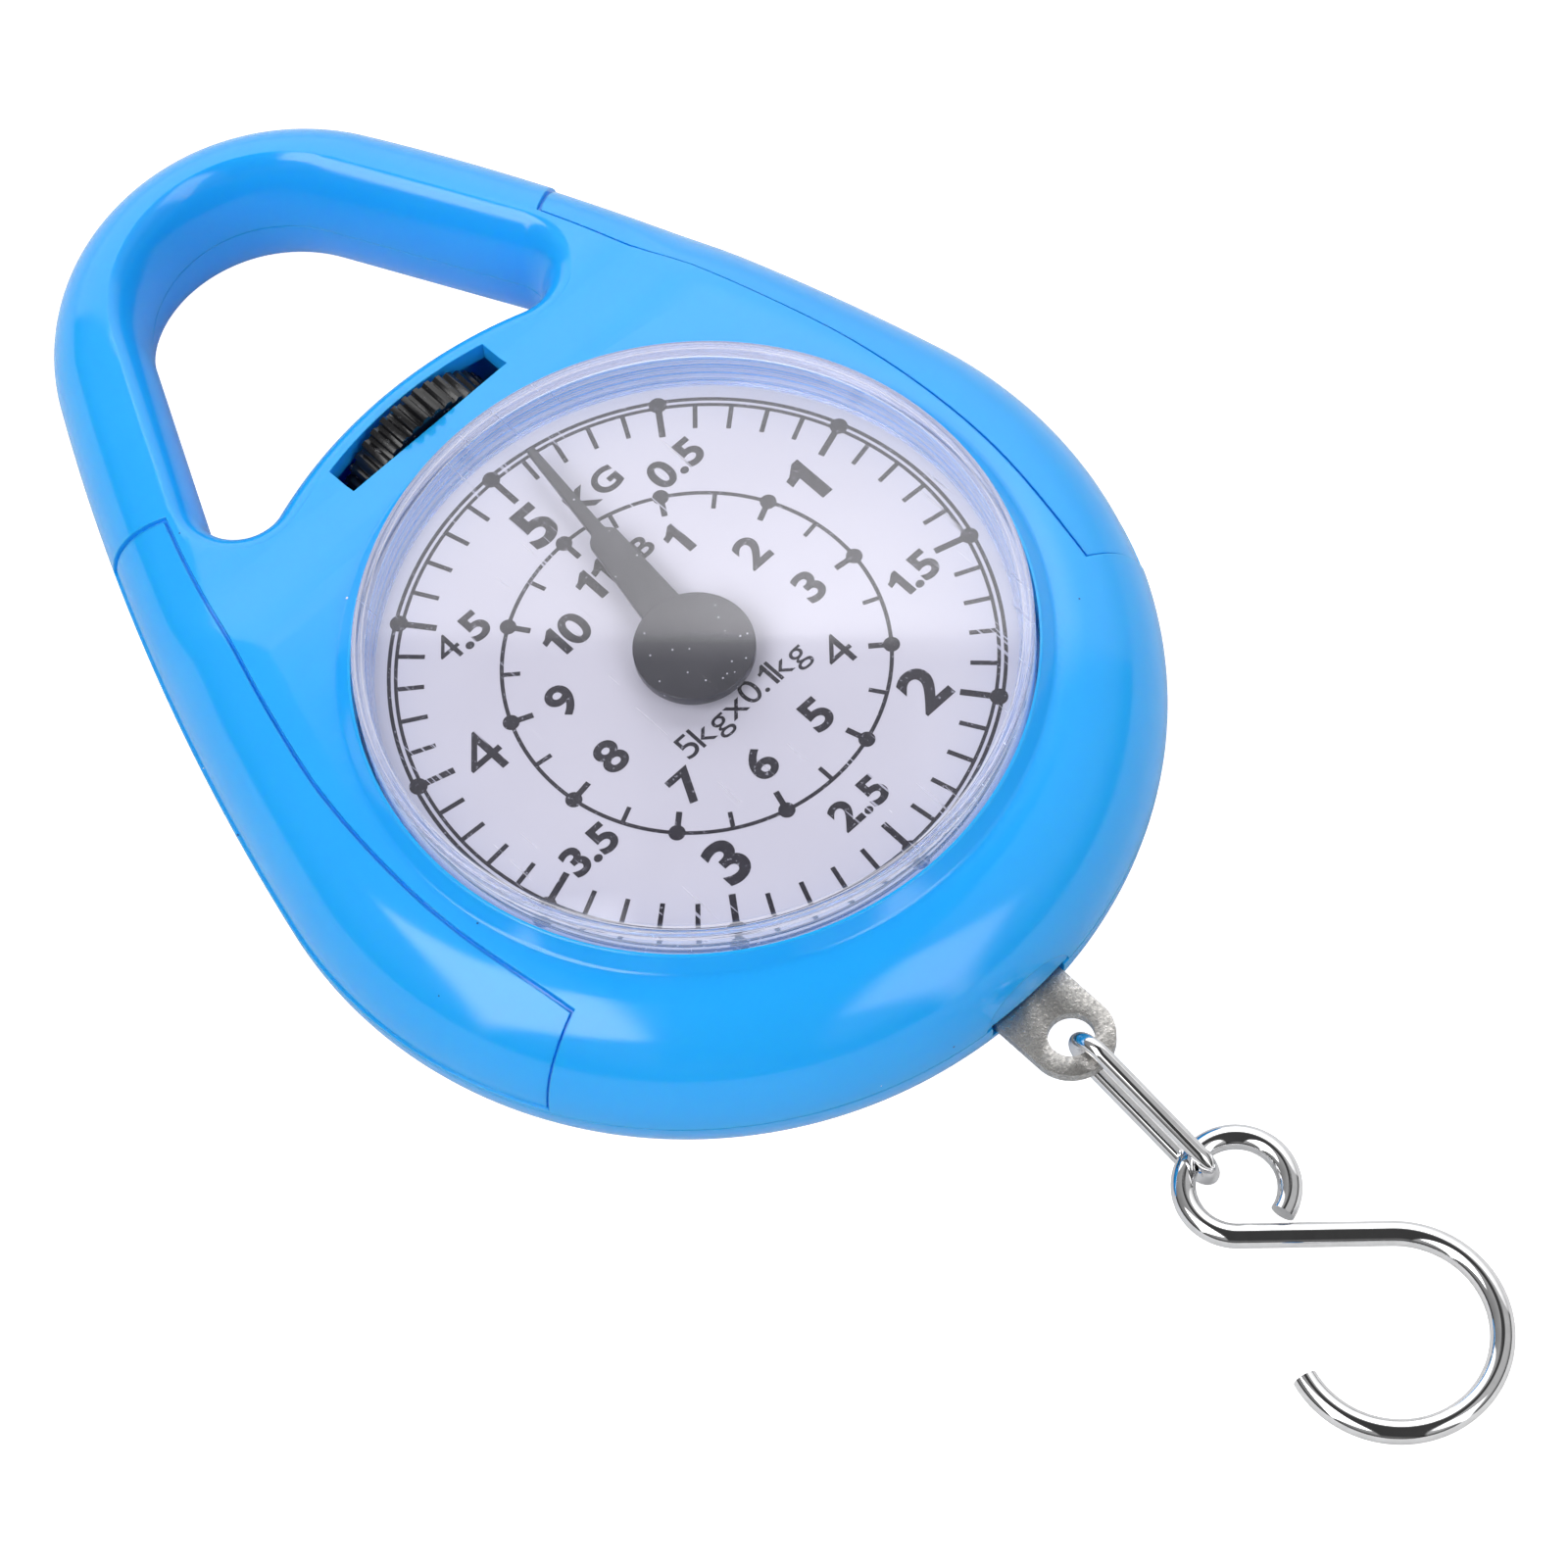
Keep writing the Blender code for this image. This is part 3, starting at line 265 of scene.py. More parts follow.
# Numbers on the dial: the text, its place across and up in dial radii, and its height in dial radii.
BIG, MID, SMALL = 0.170, 0.125, 0.113
KILOGRAM_LABELS = (
    ("5", -0.02, 0.76, BIG), ("0.5", 0.47, 0.60, SMALL), ("1", 0.72, 0.23, BIG), ("1.5", 0.72, -0.28, SMALL),
    ("2", 0.44, -0.61, BIG), ("2.5", 0.0, -0.76, SMALL), ("3", -0.44, -0.61, BIG),
    ("3.5", -0.72, -0.26, SMALL), ("4", -0.73, 0.245, BIG), ("4.5", -0.48, 0.62, SMALL),
    ("KG", 0.21, 0.72, 0.098))
POUND_LABELS = (
    ("11", -0.02, 0.455, MID), ("1", 0.27, 0.376, MID), ("2", 0.41, 0.167, MID), ("3", 0.45, -0.067, MID),
    ("4", 0.34, -0.31, MID), ("5", 0.13, -0.43, MID), ("6", -0.12, -0.43, MID), ("7", -0.34, -0.32, MID),
    ("8", -0.44, -0.06, MID), ("9", -0.41, 0.205, MID), ("10", -0.23, 0.376, MID), ("LB", 0.14, 0.443, 0.082))
CAPACITY_LABEL = ("5kgx0.1kg", 0.0, -0.226, 0.119)
# Letters are made in their own unit, with thicker strokes for a bolder weight.
KILOGRAM_WEIGHT = 0.032
POUND_WEIGHT = 0.028
LETTER_STRETCH = 1.13
LETTER_GAP = 0.042
LETTER_HALF_DEPTH = 0.01


# -------- node helpers

def fill(tree, made, inputs):
    """Set a node's inputs. Each is a constant, a (red, green, blue) colour or another node's output."""
    for key, value in inputs.items():
        socket = made.inputs[key]
        if isinstance(value, bpy.types.NodeSocket):
            tree.links.new(value, socket)
        elif socket.type == "RGBA":
            socket.default_value = (*value, 1)
        else:
            socket.default_value = value


def node(tree, kind, inputs, output, **settings):
    """One output of a new node."""
    made = tree.nodes.new("ShaderNode" + kind)
    for key, value in settings.items():
        setattr(made, key, value)
    fill(tree, made, inputs)
    return made.outputs[output]


def new_material(name):
    material = bpy.data.materials.new(name)
    material.use_nodes = True
    tree = material.node_tree
    return material, tree, tree.nodes["Principled BSDF"]


def place_of(tree):
    return node(tree, "TexCoord", {}, "Object")


def mapped(tree, scale, turn=0.0):
    """The place on the object, turned about Z and scaled along each axis."""
    inputs = {"Vector": place_of(tree), "Scale": scale, "Rotation": (0, 0, turn)}
    return node(tree, "Mapping", inputs, "Vector")


def noise(tree, scale, detail=2.0, roughness=0.5, source=None):
    """A noise value over the object. Scale is in waves per metre."""
    inputs = {"Scale": scale, "Detail": detail, "Roughness": roughness,
              "Vector": place_of(tree) if source is None else source}
    return node(tree, "TexNoise", inputs, "Fac")


def ramp(tree, value, low, high, start=0.0, end=1.0):
    """Value mapped from low..high to start..end, and held at the ends."""
    inputs = {"Value": value, "From Min": low, "From Max": high, "To Min": start, "To Max": end}
    return node(tree, "MapRange", inputs, "Result")


def cloud(tree, scale, start=0.0, end=1.0):
    """A soft change from start to end over the object."""
    return ramp(tree, noise(tree, scale, detail=3.0), 0.3, 0.7, start, end)


def combine(tree, operation, first, second):
    return node(tree, "Math", {0: first, 1: second}, "Value", operation=operation)


def multiply(tree, first, second):
    return combine(tree, "MULTIPLY", first, second)


def tinted(tree, share, first, second):
    """A colour between two. Inputs 6 and 7 and output 2 are the node's colours."""
    return node(tree, "Mix", {"Factor": share, 6: first, 7: second}, 2, data_type="RGBA")


def mix_shaders(tree, share, first, second):
    return node(tree, "MixShader", {"Fac": share, 1: first, 2: second}, "Shader")


def specks(tree, cells, size, share):
    """A mask of small dots: a share of the cells of a Voronoi pattern hold one at their middle."""
    distance = node(tree, "TexVoronoi", {"Vector": place_of(tree), "Scale": cells}, "Distance")
    red = node(tree, "SeparateColor", {"Color": distance.node.outputs["Color"]}, "Red")
    return multiply(tree, combine(tree, "LESS_THAN", distance, size), combine(tree, "LESS_THAN", red, share))


def scratches(tree, scale, turn, keep):
    """A mask of thin broken lines: the crests of a stretched noise, kept in patches."""
    lines = noise(tree, scale, detail=1.0, source=mapped(tree, (1, 0.04, 1), turn))
    patch = ramp(tree, noise(tree, 90), 0.52, 0.6)
    return multiply(tree, combine(tree, "GREATER_THAN", lines, keep), patch)


def bump(tree, height, strength, distance, under=None):
    """A normal with bumps on it. The bumps lie on the surface, or on the normal under them."""
    inputs = {"Strength": strength, "Distance": distance, "Height": height}
    if under is not None:
        inputs["Normal"] = under
    return node(tree, "Bump", inputs, "Normal")


# -------- materials

PLASTIC_BLUE = ((0.014, 0.380, 0.92), (0.020, 0.405, 0.95))
PALE_DUST = (0.75, 0.85, 0.95)
DARK_GRIT = (0.01, 0.08, 0.3)
LENS_TINT = (0.965, 0.96, 1.0)
LENS_SHADE = (0.95, 0.95, 0.98)
# Painted reflection in the lens wall, as (blue of the case seen in it, pale of highlight lines).
LENS_WALL_PAINTED_REFLECTIONS = ((0.40, 0.56, 0.95), (0.90, 0.88, 0.95))
DIAL_WHITE = ((0.63, 0.62, 0.68), (0.67, 0.66, 0.715))
INK_BLACK = (0.010, 0.008, 0.016)
INK_WORN = (0.66, 0.65, 0.74)
POINTER_GREY = ((0.040, 0.040, 0.048), (0.062, 0.061, 0.072))
POINTER_DUST = (0.62, 0.62, 0.68)
WHEEL_BLACK = (0.005, 0.005, 0.006)
WHEEL_SCUFF = (0.14, 0.14, 0.15)


def blue_plastic():
    material, tree, shader = new_material("blue_gloss_plastic")
    body = tinted(tree, cloud(tree, 45), *PLASTIC_BLUE)
    dusty = tinted(tree, specks(tree, cells=430, size=0.045, share=0.05), body, PALE_DUST)
    round_edges = node(tree, "Bevel", {"Radius": 0.14 * MM}, "Normal", samples=4)
    fill(tree, shader, {
        "Base Color": tinted(tree, specks(tree, cells=520, size=0.05, share=0.03), dusty, DARK_GRIT),
        "Roughness": cloud(tree, 220, 0.10, 0.15),
        "IOR": 1.5,
        "Subsurface Weight": 0.35,
        "Subsurface Radius": (0.2, 0.5, 1.0),
        "Subsurface Scale": 0.0015,
        "Normal": bump(tree, noise(tree, 150), 0.12, 0.05 * MM, round_edges)})
    return material


def lens_wall(tree):
    """A hazy wall with fine rings along it, coloured in painted streaks: a painted reflection of the blue
    case and painted highlight lines. Also the share of haze, which is nought inside the wall.
    """
    from_axis = node(tree, "VectorMath", {0: mapped(tree, (1, 1, 0))}, "Value", operation="LENGTH")
    level = node(tree, "SeparateXYZ", {"Vector": place_of(tree)}, "Z")
    along_wall = combine(tree, "ADD", from_axis, multiply(tree, level, 0.7))
    circles = node(tree, "TexNoise", {"Scale": 6000, "W": along_wall}, "Fac", noise_dimensions="1D")
    # Painted streaks along the wall's rings: a painted reflection of the blue case and painted highlights, as
    # diffuse colour.
    painted_streaks = tinted(tree, ramp(tree, circles, 0.42, 0.58), *LENS_WALL_PAINTED_REFLECTIONS)
    in_wall = combine(tree, "GREATER_THAN", from_axis, LENS_INNER_R - 0.05 * MM)
    haze = multiply(tree, in_wall, ramp(tree, circles, 0.4, 0.6, 0.08, 0.36))
    return node(tree, "BsdfDiffuse", {"Color": painted_streaks}, "BSDF"), haze


def clear_lens():
    """Clear plastic that lets light through to the dial, with scuffs on it and haze in its wall, where the
    haze shows a painted reflection of the case and painted highlight lines.
    """
    material, tree, shader = new_material("clear_lens_plastic")
    scuffs = combine(tree, "MAXIMUM", scratches(tree, 2600, turn=0.5, keep=0.735),
                     scratches(tree, 2300, turn=-0.9, keep=0.745))
    fill(tree, shader, {
        "Base Color": LENS_TINT,
        "Transmission Weight": 1.0,
        "IOR": 1.49,
        "Roughness": ramp(tree, scuffs, 0.0, 1.0, 0.02, 0.35),
        "Normal": bump(tree, noise(tree, 120), 0.06, 0.05 * MM)})
    wall, haze = lens_wall(tree)
    # The wall's haze carries the painted reflection and painted highlight streaks.
    hazy_with_painted_streaks = mix_shaders(tree, haze, shader.outputs["BSDF"], wall)
    clear = node(tree, "BsdfTransparent", {"Color": LENS_SHADE}, "BSDF")
    shadow = node(tree, "LightPath", {}, "Is Shadow Ray")
    lamps = combine(tree, "MAXIMUM", shadow, shadow.node.outputs["Is Diffuse Ray"])
    fill(tree, tree.nodes["Material Output"], {"Surface": mix_shaders(tree, lamps, hazy_with_painted_streaks, clear)})
    return material


def dial_paper():
    material, tree, shader = new_material("dial_print_ground")
    fill(tree, shader, {
        "Base Color": tinted(tree, cloud(tree, 60), *DIAL_WHITE),
        "Roughness": 0.55,
        "Normal": bump(tree, noise(tree, 3000), 0.1, 0.02 * MM)})
    return material


def dial_ink():
    material, tree, shader = new_material("dial_ink")
    wear = ramp(tree, noise(tree, 2600, 4.0, 0.7), 0.60, 0.66)
    lines = scratches(tree, 3200, turn=0.9, keep=0.66)
    worn = combine(tree, "MAXIMUM", multiply(tree, wear, 0.45), multiply(tree, lines, 0.7))
    fill(tree, shader, {"Base Color": tinted(tree, worn, INK_BLACK, INK_WORN), "Roughness": 0.5})
    return material


def pointer_grey():
    material, tree, shader = new_material("pointer_satin_grey")
    body = tinted(tree, cloud(tree, 150), *POINTER_GREY)
    fill(tree, shader, {
        "Base Color": tinted(tree, specks(tree, cells=1900, size=0.15, share=0.2), body, POINTER_DUST),
        "Roughness": 0.30,
        "Normal": bump(tree, noise(tree, 2400), 0.15, 0.02 * MM)})
    return material


def wheel_black():
    material, tree, shader = new_material("wheel_black_plastic")
    scuff = ramp(tree, noise(tree, 1500, 4.0, 0.7, mapped(tree, (1, 0.35, 1), 0.6)), 0.60, 0.68)
    fill(tree, shader, {
        "Base Color": tinted(tree, scuff, WHEEL_BLACK, WHEEL_SCUFF),
        "Roughness": ramp(tree, scuff, 0.0, 1.0, 0.24, 0.5),
        "Normal": bump(tree, noise(tree, 2600, detail=3.0), 0.35, 0.04 * MM)})
    return material


def metal(name, colour, rough, grain_scale, grain, dark=0.8):
    """A metal whose colour, roughness and surface vary with one grain."""
    material, tree, shader = new_material(name)
    pattern = noise(tree, grain_scale, 4.0, 0.6)
    share = ramp(tree, pattern, 0.35, 0.65)
    fill(tree, shader, {
        "Base Color": tinted(tree, share, tuple(dark * part for part in colour), colour),
        "Metallic": 1.0,
        "Roughness": ramp(tree, share, 0.0, 1.0, rough * 1.25, rough * 0.85),
        "Normal": bump(tree, pattern, grain, 0.03 * MM)})
    return material


BLUE = blue_plastic()
CLEAR = clear_lens()
PAPER = dial_paper()
INK = dial_ink()
GREY = pointer_grey()
BLACK = wheel_black()
STEEL = metal("tumbled_steel", (0.56, 0.545, 0.525), rough=0.30, grain_scale=3800, grain=1.0, dark=0.55)
CHROME = metal("bright_chrome", (0.82, 0.82, 0.83), rough=0.045, grain_scale=700, grain=0.04, dark=0.9)
SPRING = metal("spring_wire", (0.62, 0.62, 0.63), rough=0.25, grain_scale=900, grain=0.15)
BRASS = metal("turned_brass", (0.72, 0.52, 0.22), rough=0.28, grain_scale=800, grain=0.2)
ZINC = metal("zinc_plate", (0.62, 0.63, 0.66), rough=0.3, grain_scale=700, grain=0.2)


# -------- mesh helpers

def new_object(name, data):
    piece = bpy.data.objects.new(name, data)
    bpy.context.scene.collection.objects.link(piece)
    return piece


def show(name, mesh, body, slot, material, *nodes):
    """A finished piece on a body, in place of CAD nodes."""
    piece = new_object(name, mesh)
    mesh.materials.clear()
    mesh.materials.append(material)
    if nodes:
        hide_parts(*nodes)
    if body:
        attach(piece, body)
    return piece


def mesh_from(bm, name):
    bmesh.ops.recalc_face_normals(bm, faces=bm.faces)
    mesh = bpy.data.meshes.new(name)
    bm.to_mesh(mesh)
    bm.free()
    return mesh


def smooth(mesh, sharp_degrees=32):
    """Smooth shading, with sharp edges where faces meet at more than an angle."""
    bm = bmesh.new()
    bm.from_mesh(mesh)
    for face in bm.faces:
        face.smooth = True
    limit = math.radians(sharp_degrees)
    for edge in bm.edges:
        edge.smooth = len(edge.link_faces) == 2 and edge.calc_face_angle(0) < limit
    bm.to_mesh(mesh)
    bm.free()
    return mesh


def bridge(bm, first, second):
    """Faces between two loops of vertices, either of which may be a single point."""
    count = max(len(first), len(second))
    for i in range(count):
        j = (i + 1) % count
        near = [first[i % len(first)], first[j % len(first)]]
        far = [second[j % len(second)], second[i % len(second)]]
        bm.faces.new(list(dict.fromkeys(near + far)))


def sleeve(bm, rings):
    """Walls between rings of points, one above the other. Returns the first and the last ring's vertices."""
    loops = [[bm.verts.new(point) for point in ring] for ring in rings]
    for lower, upper in zip(loops, loops[1:]):
        bridge(bm, lower, upper)
    return loops[0], loops[-1]


def loft(name, rings):
    bm = bmesh.new()
    for end in sleeve(bm, rings):
        bm.faces.new(end)
    return mesh_from(bm, name)


def turned(name, profile, steps, closed=False):
    """Spin (radius, z) points about Z. Points on the axis close the ends."""
    bm = bmesh.new()
    rings = [at_height(circle((0, 0), radius, steps) if radius else [(0, 0)], z) for radius, z in profile]
    first, last = sleeve(bm, rings)
    if closed:
        bridge(bm, last, first)
    return mesh_from(bm, name)


def plate(name, outlines, low_z, high_z):
    """A flat piece from an outline and its holes."""
    curve = bpy.data.curves.new(name, "CURVE")
    curve.dimensions = "2D"
    curve.fill_mode = "BOTH"
    curve.extrude = (high_z - low_z) / 2
    for outline in outlines:
        spline = curve.splines.new("POLY")
        spline.points.add(len(outline) - 1)
        spline.use_cyclic_u = True
        for point, (x, y) in zip(spline.points, outline):
            point.co = (x, y, 0, 1)
    mesh = mesh_of(new_object(name + "_guide", curve))
    bm = bmesh.new()
    bm.from_mesh(mesh)
    bmesh.ops.remove_doubles(bm, verts=bm.verts, dist=1e-6)
    bmesh.ops.translate(bm, verts=bm.verts, vec=(0, 0, (low_z + high_z) / 2))
    return mesh_from(bm, name)


def mesh_of(piece):
    """The evaluated mesh of an object, which is then removed."""
    bpy.context.view_layer.update()
    graph = bpy.context.evaluated_depsgraph_get()
    mesh = bpy.data.meshes.new_from_object(piece.evaluated_get(graph))
    bpy.data.objects.remove(piece, do_unlink=True)
    return mesh


def bevelled(mesh, width, segments=3, angle=40):
    """The mesh with its sharp edges rounded."""
    piece = new_object("bevel_work", mesh)
    step = piece.modifiers.new("round", "BEVEL")
    step.width = width
    step.segments = segments
    step.limit_method = "ANGLE"
    step.angle_limit = math.radians(angle)
    return mesh_of(piece)


def carved(mesh, steps):
    """The mesh after a run of ("UNION" or "DIFFERENCE", mesh) steps."""
    piece = new_object("carve_work", mesh)
    others = []
    for operation, other in steps:
        tool = new_object("carve_tool", other)
        tool.hide_render = True
        others.append(tool)
        step = piece.modifiers.new("step", "BOOLEAN")
        step.operation = operation
        step.solver = "EXACT"
        step.object = tool
    result = mesh_of(piece)
    for tool in others:
        bpy.data.objects.remove(tool, do_unlink=True)
    return result


def cut_by(*meshes):
    return [("DIFFERENCE", mesh) for mesh in meshes]


def box(low, high):
    bm = bmesh.new()
    bmesh.ops.create_cube(bm, size=1)
    low, high = Vector(low), Vector(high)
    size = high - low
    place = Matrix.Translation((low + high) / 2) @ Matrix.Diagonal((size.x, size.y, size.z, 1))
    bmesh.ops.transform(bm, matrix=place, verts=bm.verts)
    return mesh_from(bm, "box")


def upright(radius, place, low_z, high_z, sides=32):
    """A standing cylinder on a place of the XY plane."""
    profile = ((0, high_z), (radius, high_z), (radius, low_z), (0, low_z))
    return moved(turned("upright", profile, sides), Matrix.Translation(place.to_3d()))


def moved(mesh, matrix):
    mesh.transform(matrix)
    return mesh


def joined(name, meshes):
    """One mesh that holds several."""
    bm = bmesh.new()
    for mesh in meshes:
        bm.from_mesh(mesh)
    return mesh_from(bm, name)


def wire(name, points, radius, cyclic=False, sides=6):
    """The mesh of a round wire along points."""
    curve = bpy.data.curves.new(name, "CURVE")
    curve.dimensions = "3D"
    curve.bevel_depth = radius
    curve.bevel_resolution = sides
    curve.use_fill_caps = not cyclic
    spline = curve.splines.new("POLY")
    spline.points.add(len(points) - 1)
    spline.use_cyclic_u = cyclic
    for point, place in zip(spline.points, points):
        point.co = (*place, 1)
    return mesh_of(new_object(name + "_guide", curve))


def arc(centre, radius, start, end, segments):
    points = []
    for i in range(segments + 1):
        angle = start + (end - start) * i / segments
        points.append((centre[0] + radius * math.cos(angle), centre[1] + radius * math.sin(angle)))
    return points


def circle(centre, radius, segments=48):
    return arc(centre, radius, 0, 2 * math.pi, segments)[:-1]


def mirrored(half):
    left = [(-x, y) for x, y in reversed(half) if x > 0.01 * MM]
    return half + left


def at_height(outline, z):
    return [(x, y, z) for x, y in outline]


def offsets(radius, z, steps):
    """Profile points at (radius, z) offsets, given in millimetres, from a corner."""
    return [(radius + aside * MM, z + above * MM) for aside, above in steps]


def smooth_line(points, steps):
    """Points on a smooth curve through the given ones."""
    line = []
    padded = [2 * points[0] - points[1]] + list(points) + [2 * points[-1] - points[-2]]
    for i in range(1, len(padded) - 2):
        before, start, end, after = padded[i - 1:i + 3]
        slope = end - before
        curve = 2 * before - 5 * start + 4 * end - after
        twist = 3 * start - before - 3 * end + after
        for step in range(steps):
            t = step / steps
            line.append(tuple(0.5 * (2 * start + slope * t + curve * t ** 2 + twist * t ** 3)))
    line.append(tuple(points[-1]))
    return line


# -------- case

def case_outline(inset=0.0):
    span = TOP_ARC_Y - BOTTOM_ARC_Y
    to_bottom = SIDE_ARC_R - BOTTOM_ARC_R
    to_top = SIDE_ARC_R - TOP_ARC_R
    rise = (to_bottom ** 2 - to_top ** 2 + span ** 2) / (2 * span)
    side_x = -math.sqrt(to_bottom ** 2 - rise ** 2)
    side_y = BOTTOM_ARC_Y + rise
    low_angle = math.atan2(BOTTOM_ARC_Y - side_y, -side_x)
    high_angle = math.atan2(TOP_ARC_Y - side_y, -side_x)
    bottom = arc((0, BOTTOM_ARC_Y), BOTTOM_ARC_R - inset, -math.pi / 2, low_angle, segments=64)
    side = arc((side_x, side_y), SIDE_ARC_R - inset, low_angle, high_angle, segments=26)
    top = arc((0, TOP_ARC_Y), TOP_ARC_R - inset, high_angle, math.pi / 2, segments=40)
    return mirrored(bottom + side[1:-1] + top)


def hole_outline(grow=0.0):
    bottom_centre_y = HOLE_BOTTOM_Y - HOLE_BOTTOM_R
    corner_y = bottom_centre_y + math.sqrt((HOLE_BOTTOM_R + HOLE_CORNER_R) ** 2 - HOLE_CORNER_X ** 2)
    corner = (HOLE_CORNER_X, corner_y)
    across, down = HOLE_CORNER_X, corner_y - HOLE_TOP_Y
    tilt = math.asin((HOLE_TOP_R - HOLE_CORNER_R) / math.hypot(across, down))
    side_angle = math.atan2(down, across) + math.pi / 2 - tilt
    meet_angle = math.atan2(corner_y - bottom_centre_y, HOLE_CORNER_X)
    bottom = arc((0, bottom_centre_y), HOLE_BOTTOM_R - grow, math.pi / 2, meet_angle, segments=18)
    turn = arc(corner, HOLE_CORNER_R + grow, meet_angle - math.pi, side_angle, segments=26)
    top = arc((0, HOLE_TOP_Y), HOLE_TOP_R + grow, side_angle, math.pi / 2, segments=30)
    return mirrored(bottom + turn[1:] + top)


def rim(edge_z, reach):
    """(inset, z) pairs of the case's rounded rim, from its edge to a face that is reach above the seam."""
    pairs = [(0.0, edge_z)]
    for i in range(1, RIM_STEPS + 1):
        angle = math.pi / 2 * i / RIM_STEPS
        pairs.append((RIM_WIDTH * (1 - math.cos(angle)), SEAM_Z + reach * math.sin(angle)))
    return pairs


def rear_solid():
    pairs = rim(SEAM_Z - SEAM_GAP / 2, -SEAM_Z)
    return loft("rear_solid", [at_height(case_outline(inset), z) for inset, z in pairs])


def swell(y):
    """1 round the dial and 0 at the handle."""
    share = min(1.0, max(0.0, (SWELL_END_Y - y) / (SWELL_END_Y - SWELL_FULL_Y)))
    return share * share * (3 - 2 * share)


def front_solid(edge_z, shrink=0.0):
    """The front half's outside, whose rim and face swell round the dial. The face is ruled across X."""
    rings = []
    for inset, z in rim(edge_z, FACE_Z - SEAM_Z - shrink):
        wider = inset * (1 + SWELL_RIM / RIM_WIDTH)
        taller = z + max(0.0, z - SEAM_Z) * SWELL_RISE / (FACE_Z - SEAM_Z)
        ring_points = []
        for narrow, wide in zip(case_outline(inset + shrink), case_outline(wider + shrink)):
            share = swell(narrow[1])
            x, y = (start + share * (end - start) for start, end in zip(narrow, wide))
            ring_points.append((x, y, z + share * (taller - z)))
        rings.append(ring_points)
    bm = bmesh.new()
    low, face = sleeve(bm, rings)
    count = len(face)
    half = count // 2
    bm.faces.new((face[0], face[1], face[-1]))
    for i in range(1, half - 1):
        bm.faces.new((face[i], face[i + 1], face[count - i - 1], face[count - i]))
    bm.faces.new((face[half - 1], face[half], face[half + 1]))
    bm.faces.new(low)
    return mesh_from(bm, "front_solid")


def handle_spool():
    """What the handle's opening takes away: narrow at the seam, and flared to both faces."""
    rings = [at_height(hole_outline(HOLE_FLARE), -HOLE_OVERCUT)]
    for step in range(-HOLE_FLARE_STEPS, HOLE_FLARE_STEPS + 1):
        angle = math.pi / 2 * step / HOLE_FLARE_STEPS
        reach = FACE_Z - SEAM_Z if step > 0 else SEAM_Z
        grow = HOLE_FLARE * (1 - math.cos(angle))
        rings.append(at_height(hole_outline(grow), SEAM_Z + reach * math.sin(angle)))
    rings.append(at_height(hole_outline(HOLE_FLARE), FACE_Z + HOLE_OVERCUT))
    return loft("handle_spool", rings)


def hollow(pairs):
    """The space inside a shell, which leaves a wall round the handle opening."""
    space = loft("hollow", [at_height(case_outline(inset), z) for inset, z in pairs])
    island = loft("island", [at_height(hole_outline(WALL), z) for z in (-OVERCUT, FACE_Z + OVERCUT)])
    return carved(space, cut_by(island))


def wheel_slot(half_width, low_z, high_z):
    half_angle = math.asin(half_width / WHEEL_SLOT_OUTER_R)
    far_side = arc((0, 0), WHEEL_SLOT_OUTER_R, math.pi / 2 - half_angle, math.pi / 2 + half_angle, 32)
    outline = [(-half_width, WHEEL_SLOT_LOW_Y), (half_width, WHEEL_SLOT_LOW_Y)] + far_side
    return plate("wheel_slot", [outline], low_z, high_z)


def drawn_in(outline, distance):
    """An outline moved inwards. Its points run anticlockwise."""
    # A corner sharper than this moves less far than its sides would need.
    sharpest = 0.3
    points = [Vector(point) for point in outline]
    moved_points = []
    for before, point, after in zip([points[-1]] + points, points, points[1:] + points[:1]):
        along_in, along_out = (point - before).normalized(), (after - point).normalized()
        normal_in, normal_out = Vector((-along_in.y, along_in.x)), Vector((-along_out.y, along_out.x))
        corner = (normal_in + normal_out).normalized()
        moved_points.append(tuple(point + corner * distance / max(sharpest, corner.dot(normal_in))))
    return moved_points


def recess_skin(side, depth, border_only=False):
    """What a side recess takes off the front shell: its skin down to a depth, or a strip along its border."""
    inner = smooth_line(RECESS_EDGE, steps=8)
    outline = [(RECESS_OUTER_X, RECESS_OUTER_HIGH_Y)] + inner + [(RECESS_OUTER_X, RECESS_OUTER_LOW_Y)]
    outlines = [outline, drawn_in(outline, GROOVE_WIDTH)] if border_only else [outline]
    mirrored_outlines = [[(side * x, y) for x, y in points] for points in outlines]
    skin = plate("recess", mirrored_outlines, RECESS_LOW_Z, RECESS_HIGH_Z)
    return carved(skin, cut_by(front_solid(CUTTER_EDGE_Z, depth)))


def exit_recess():
    """The shallow arched panel round the load bar's exit."""
    arch = arc((0, 0), 1, 0, math.pi, segments=24)
    door = [(ARCH_HALF_WIDTH * x, SEAM_Z + (ARCH_TOP_Z - SEAM_Z) * y) for x, y in arch]
    door = [(ARCH_HALF_WIDTH, ARCH_LOW_Z)] + door + [(-ARCH_HALF_WIDTH, ARCH_LOW_Z)]
    panel = plate("exit_panel", [door], *ARCH_Y)
    y_and_z_swapped = Matrix(((1, 0, 0, 0), (0, 0, 1, 0), (0, 1, 0, 0), (0, 0, 0, 1)))
    panel = joined("exit_panel", [moved(panel, y_and_z_swapped)])
    return carved(panel, cut_by(front_solid(CUTTER_EDGE_Z, ARCH_DEPTH)))


def bar_exit():
    half_width = TAB_HALF_WIDTH + EXIT_SIDE_GAP
    return box((-half_width, EXIT_Y[0], BAR_Z - EXIT_HALF_HEIGHT),
               (half_width, EXIT_Y[1], BAR_Z + EXIT_HALF_HEIGHT))


def finish_shell(name, shell, node_name):
    """A shell whose flat faces keep flat shading beside the rounded rims."""
    piece = show(name, smooth(shell, 24), "case", "shell_blue", BLUE, node_name)
    step = piece.modifiers.new("face_normals", "WEIGHTED_NORMAL")
    step.keep_sharp = True
    step.weight = 80


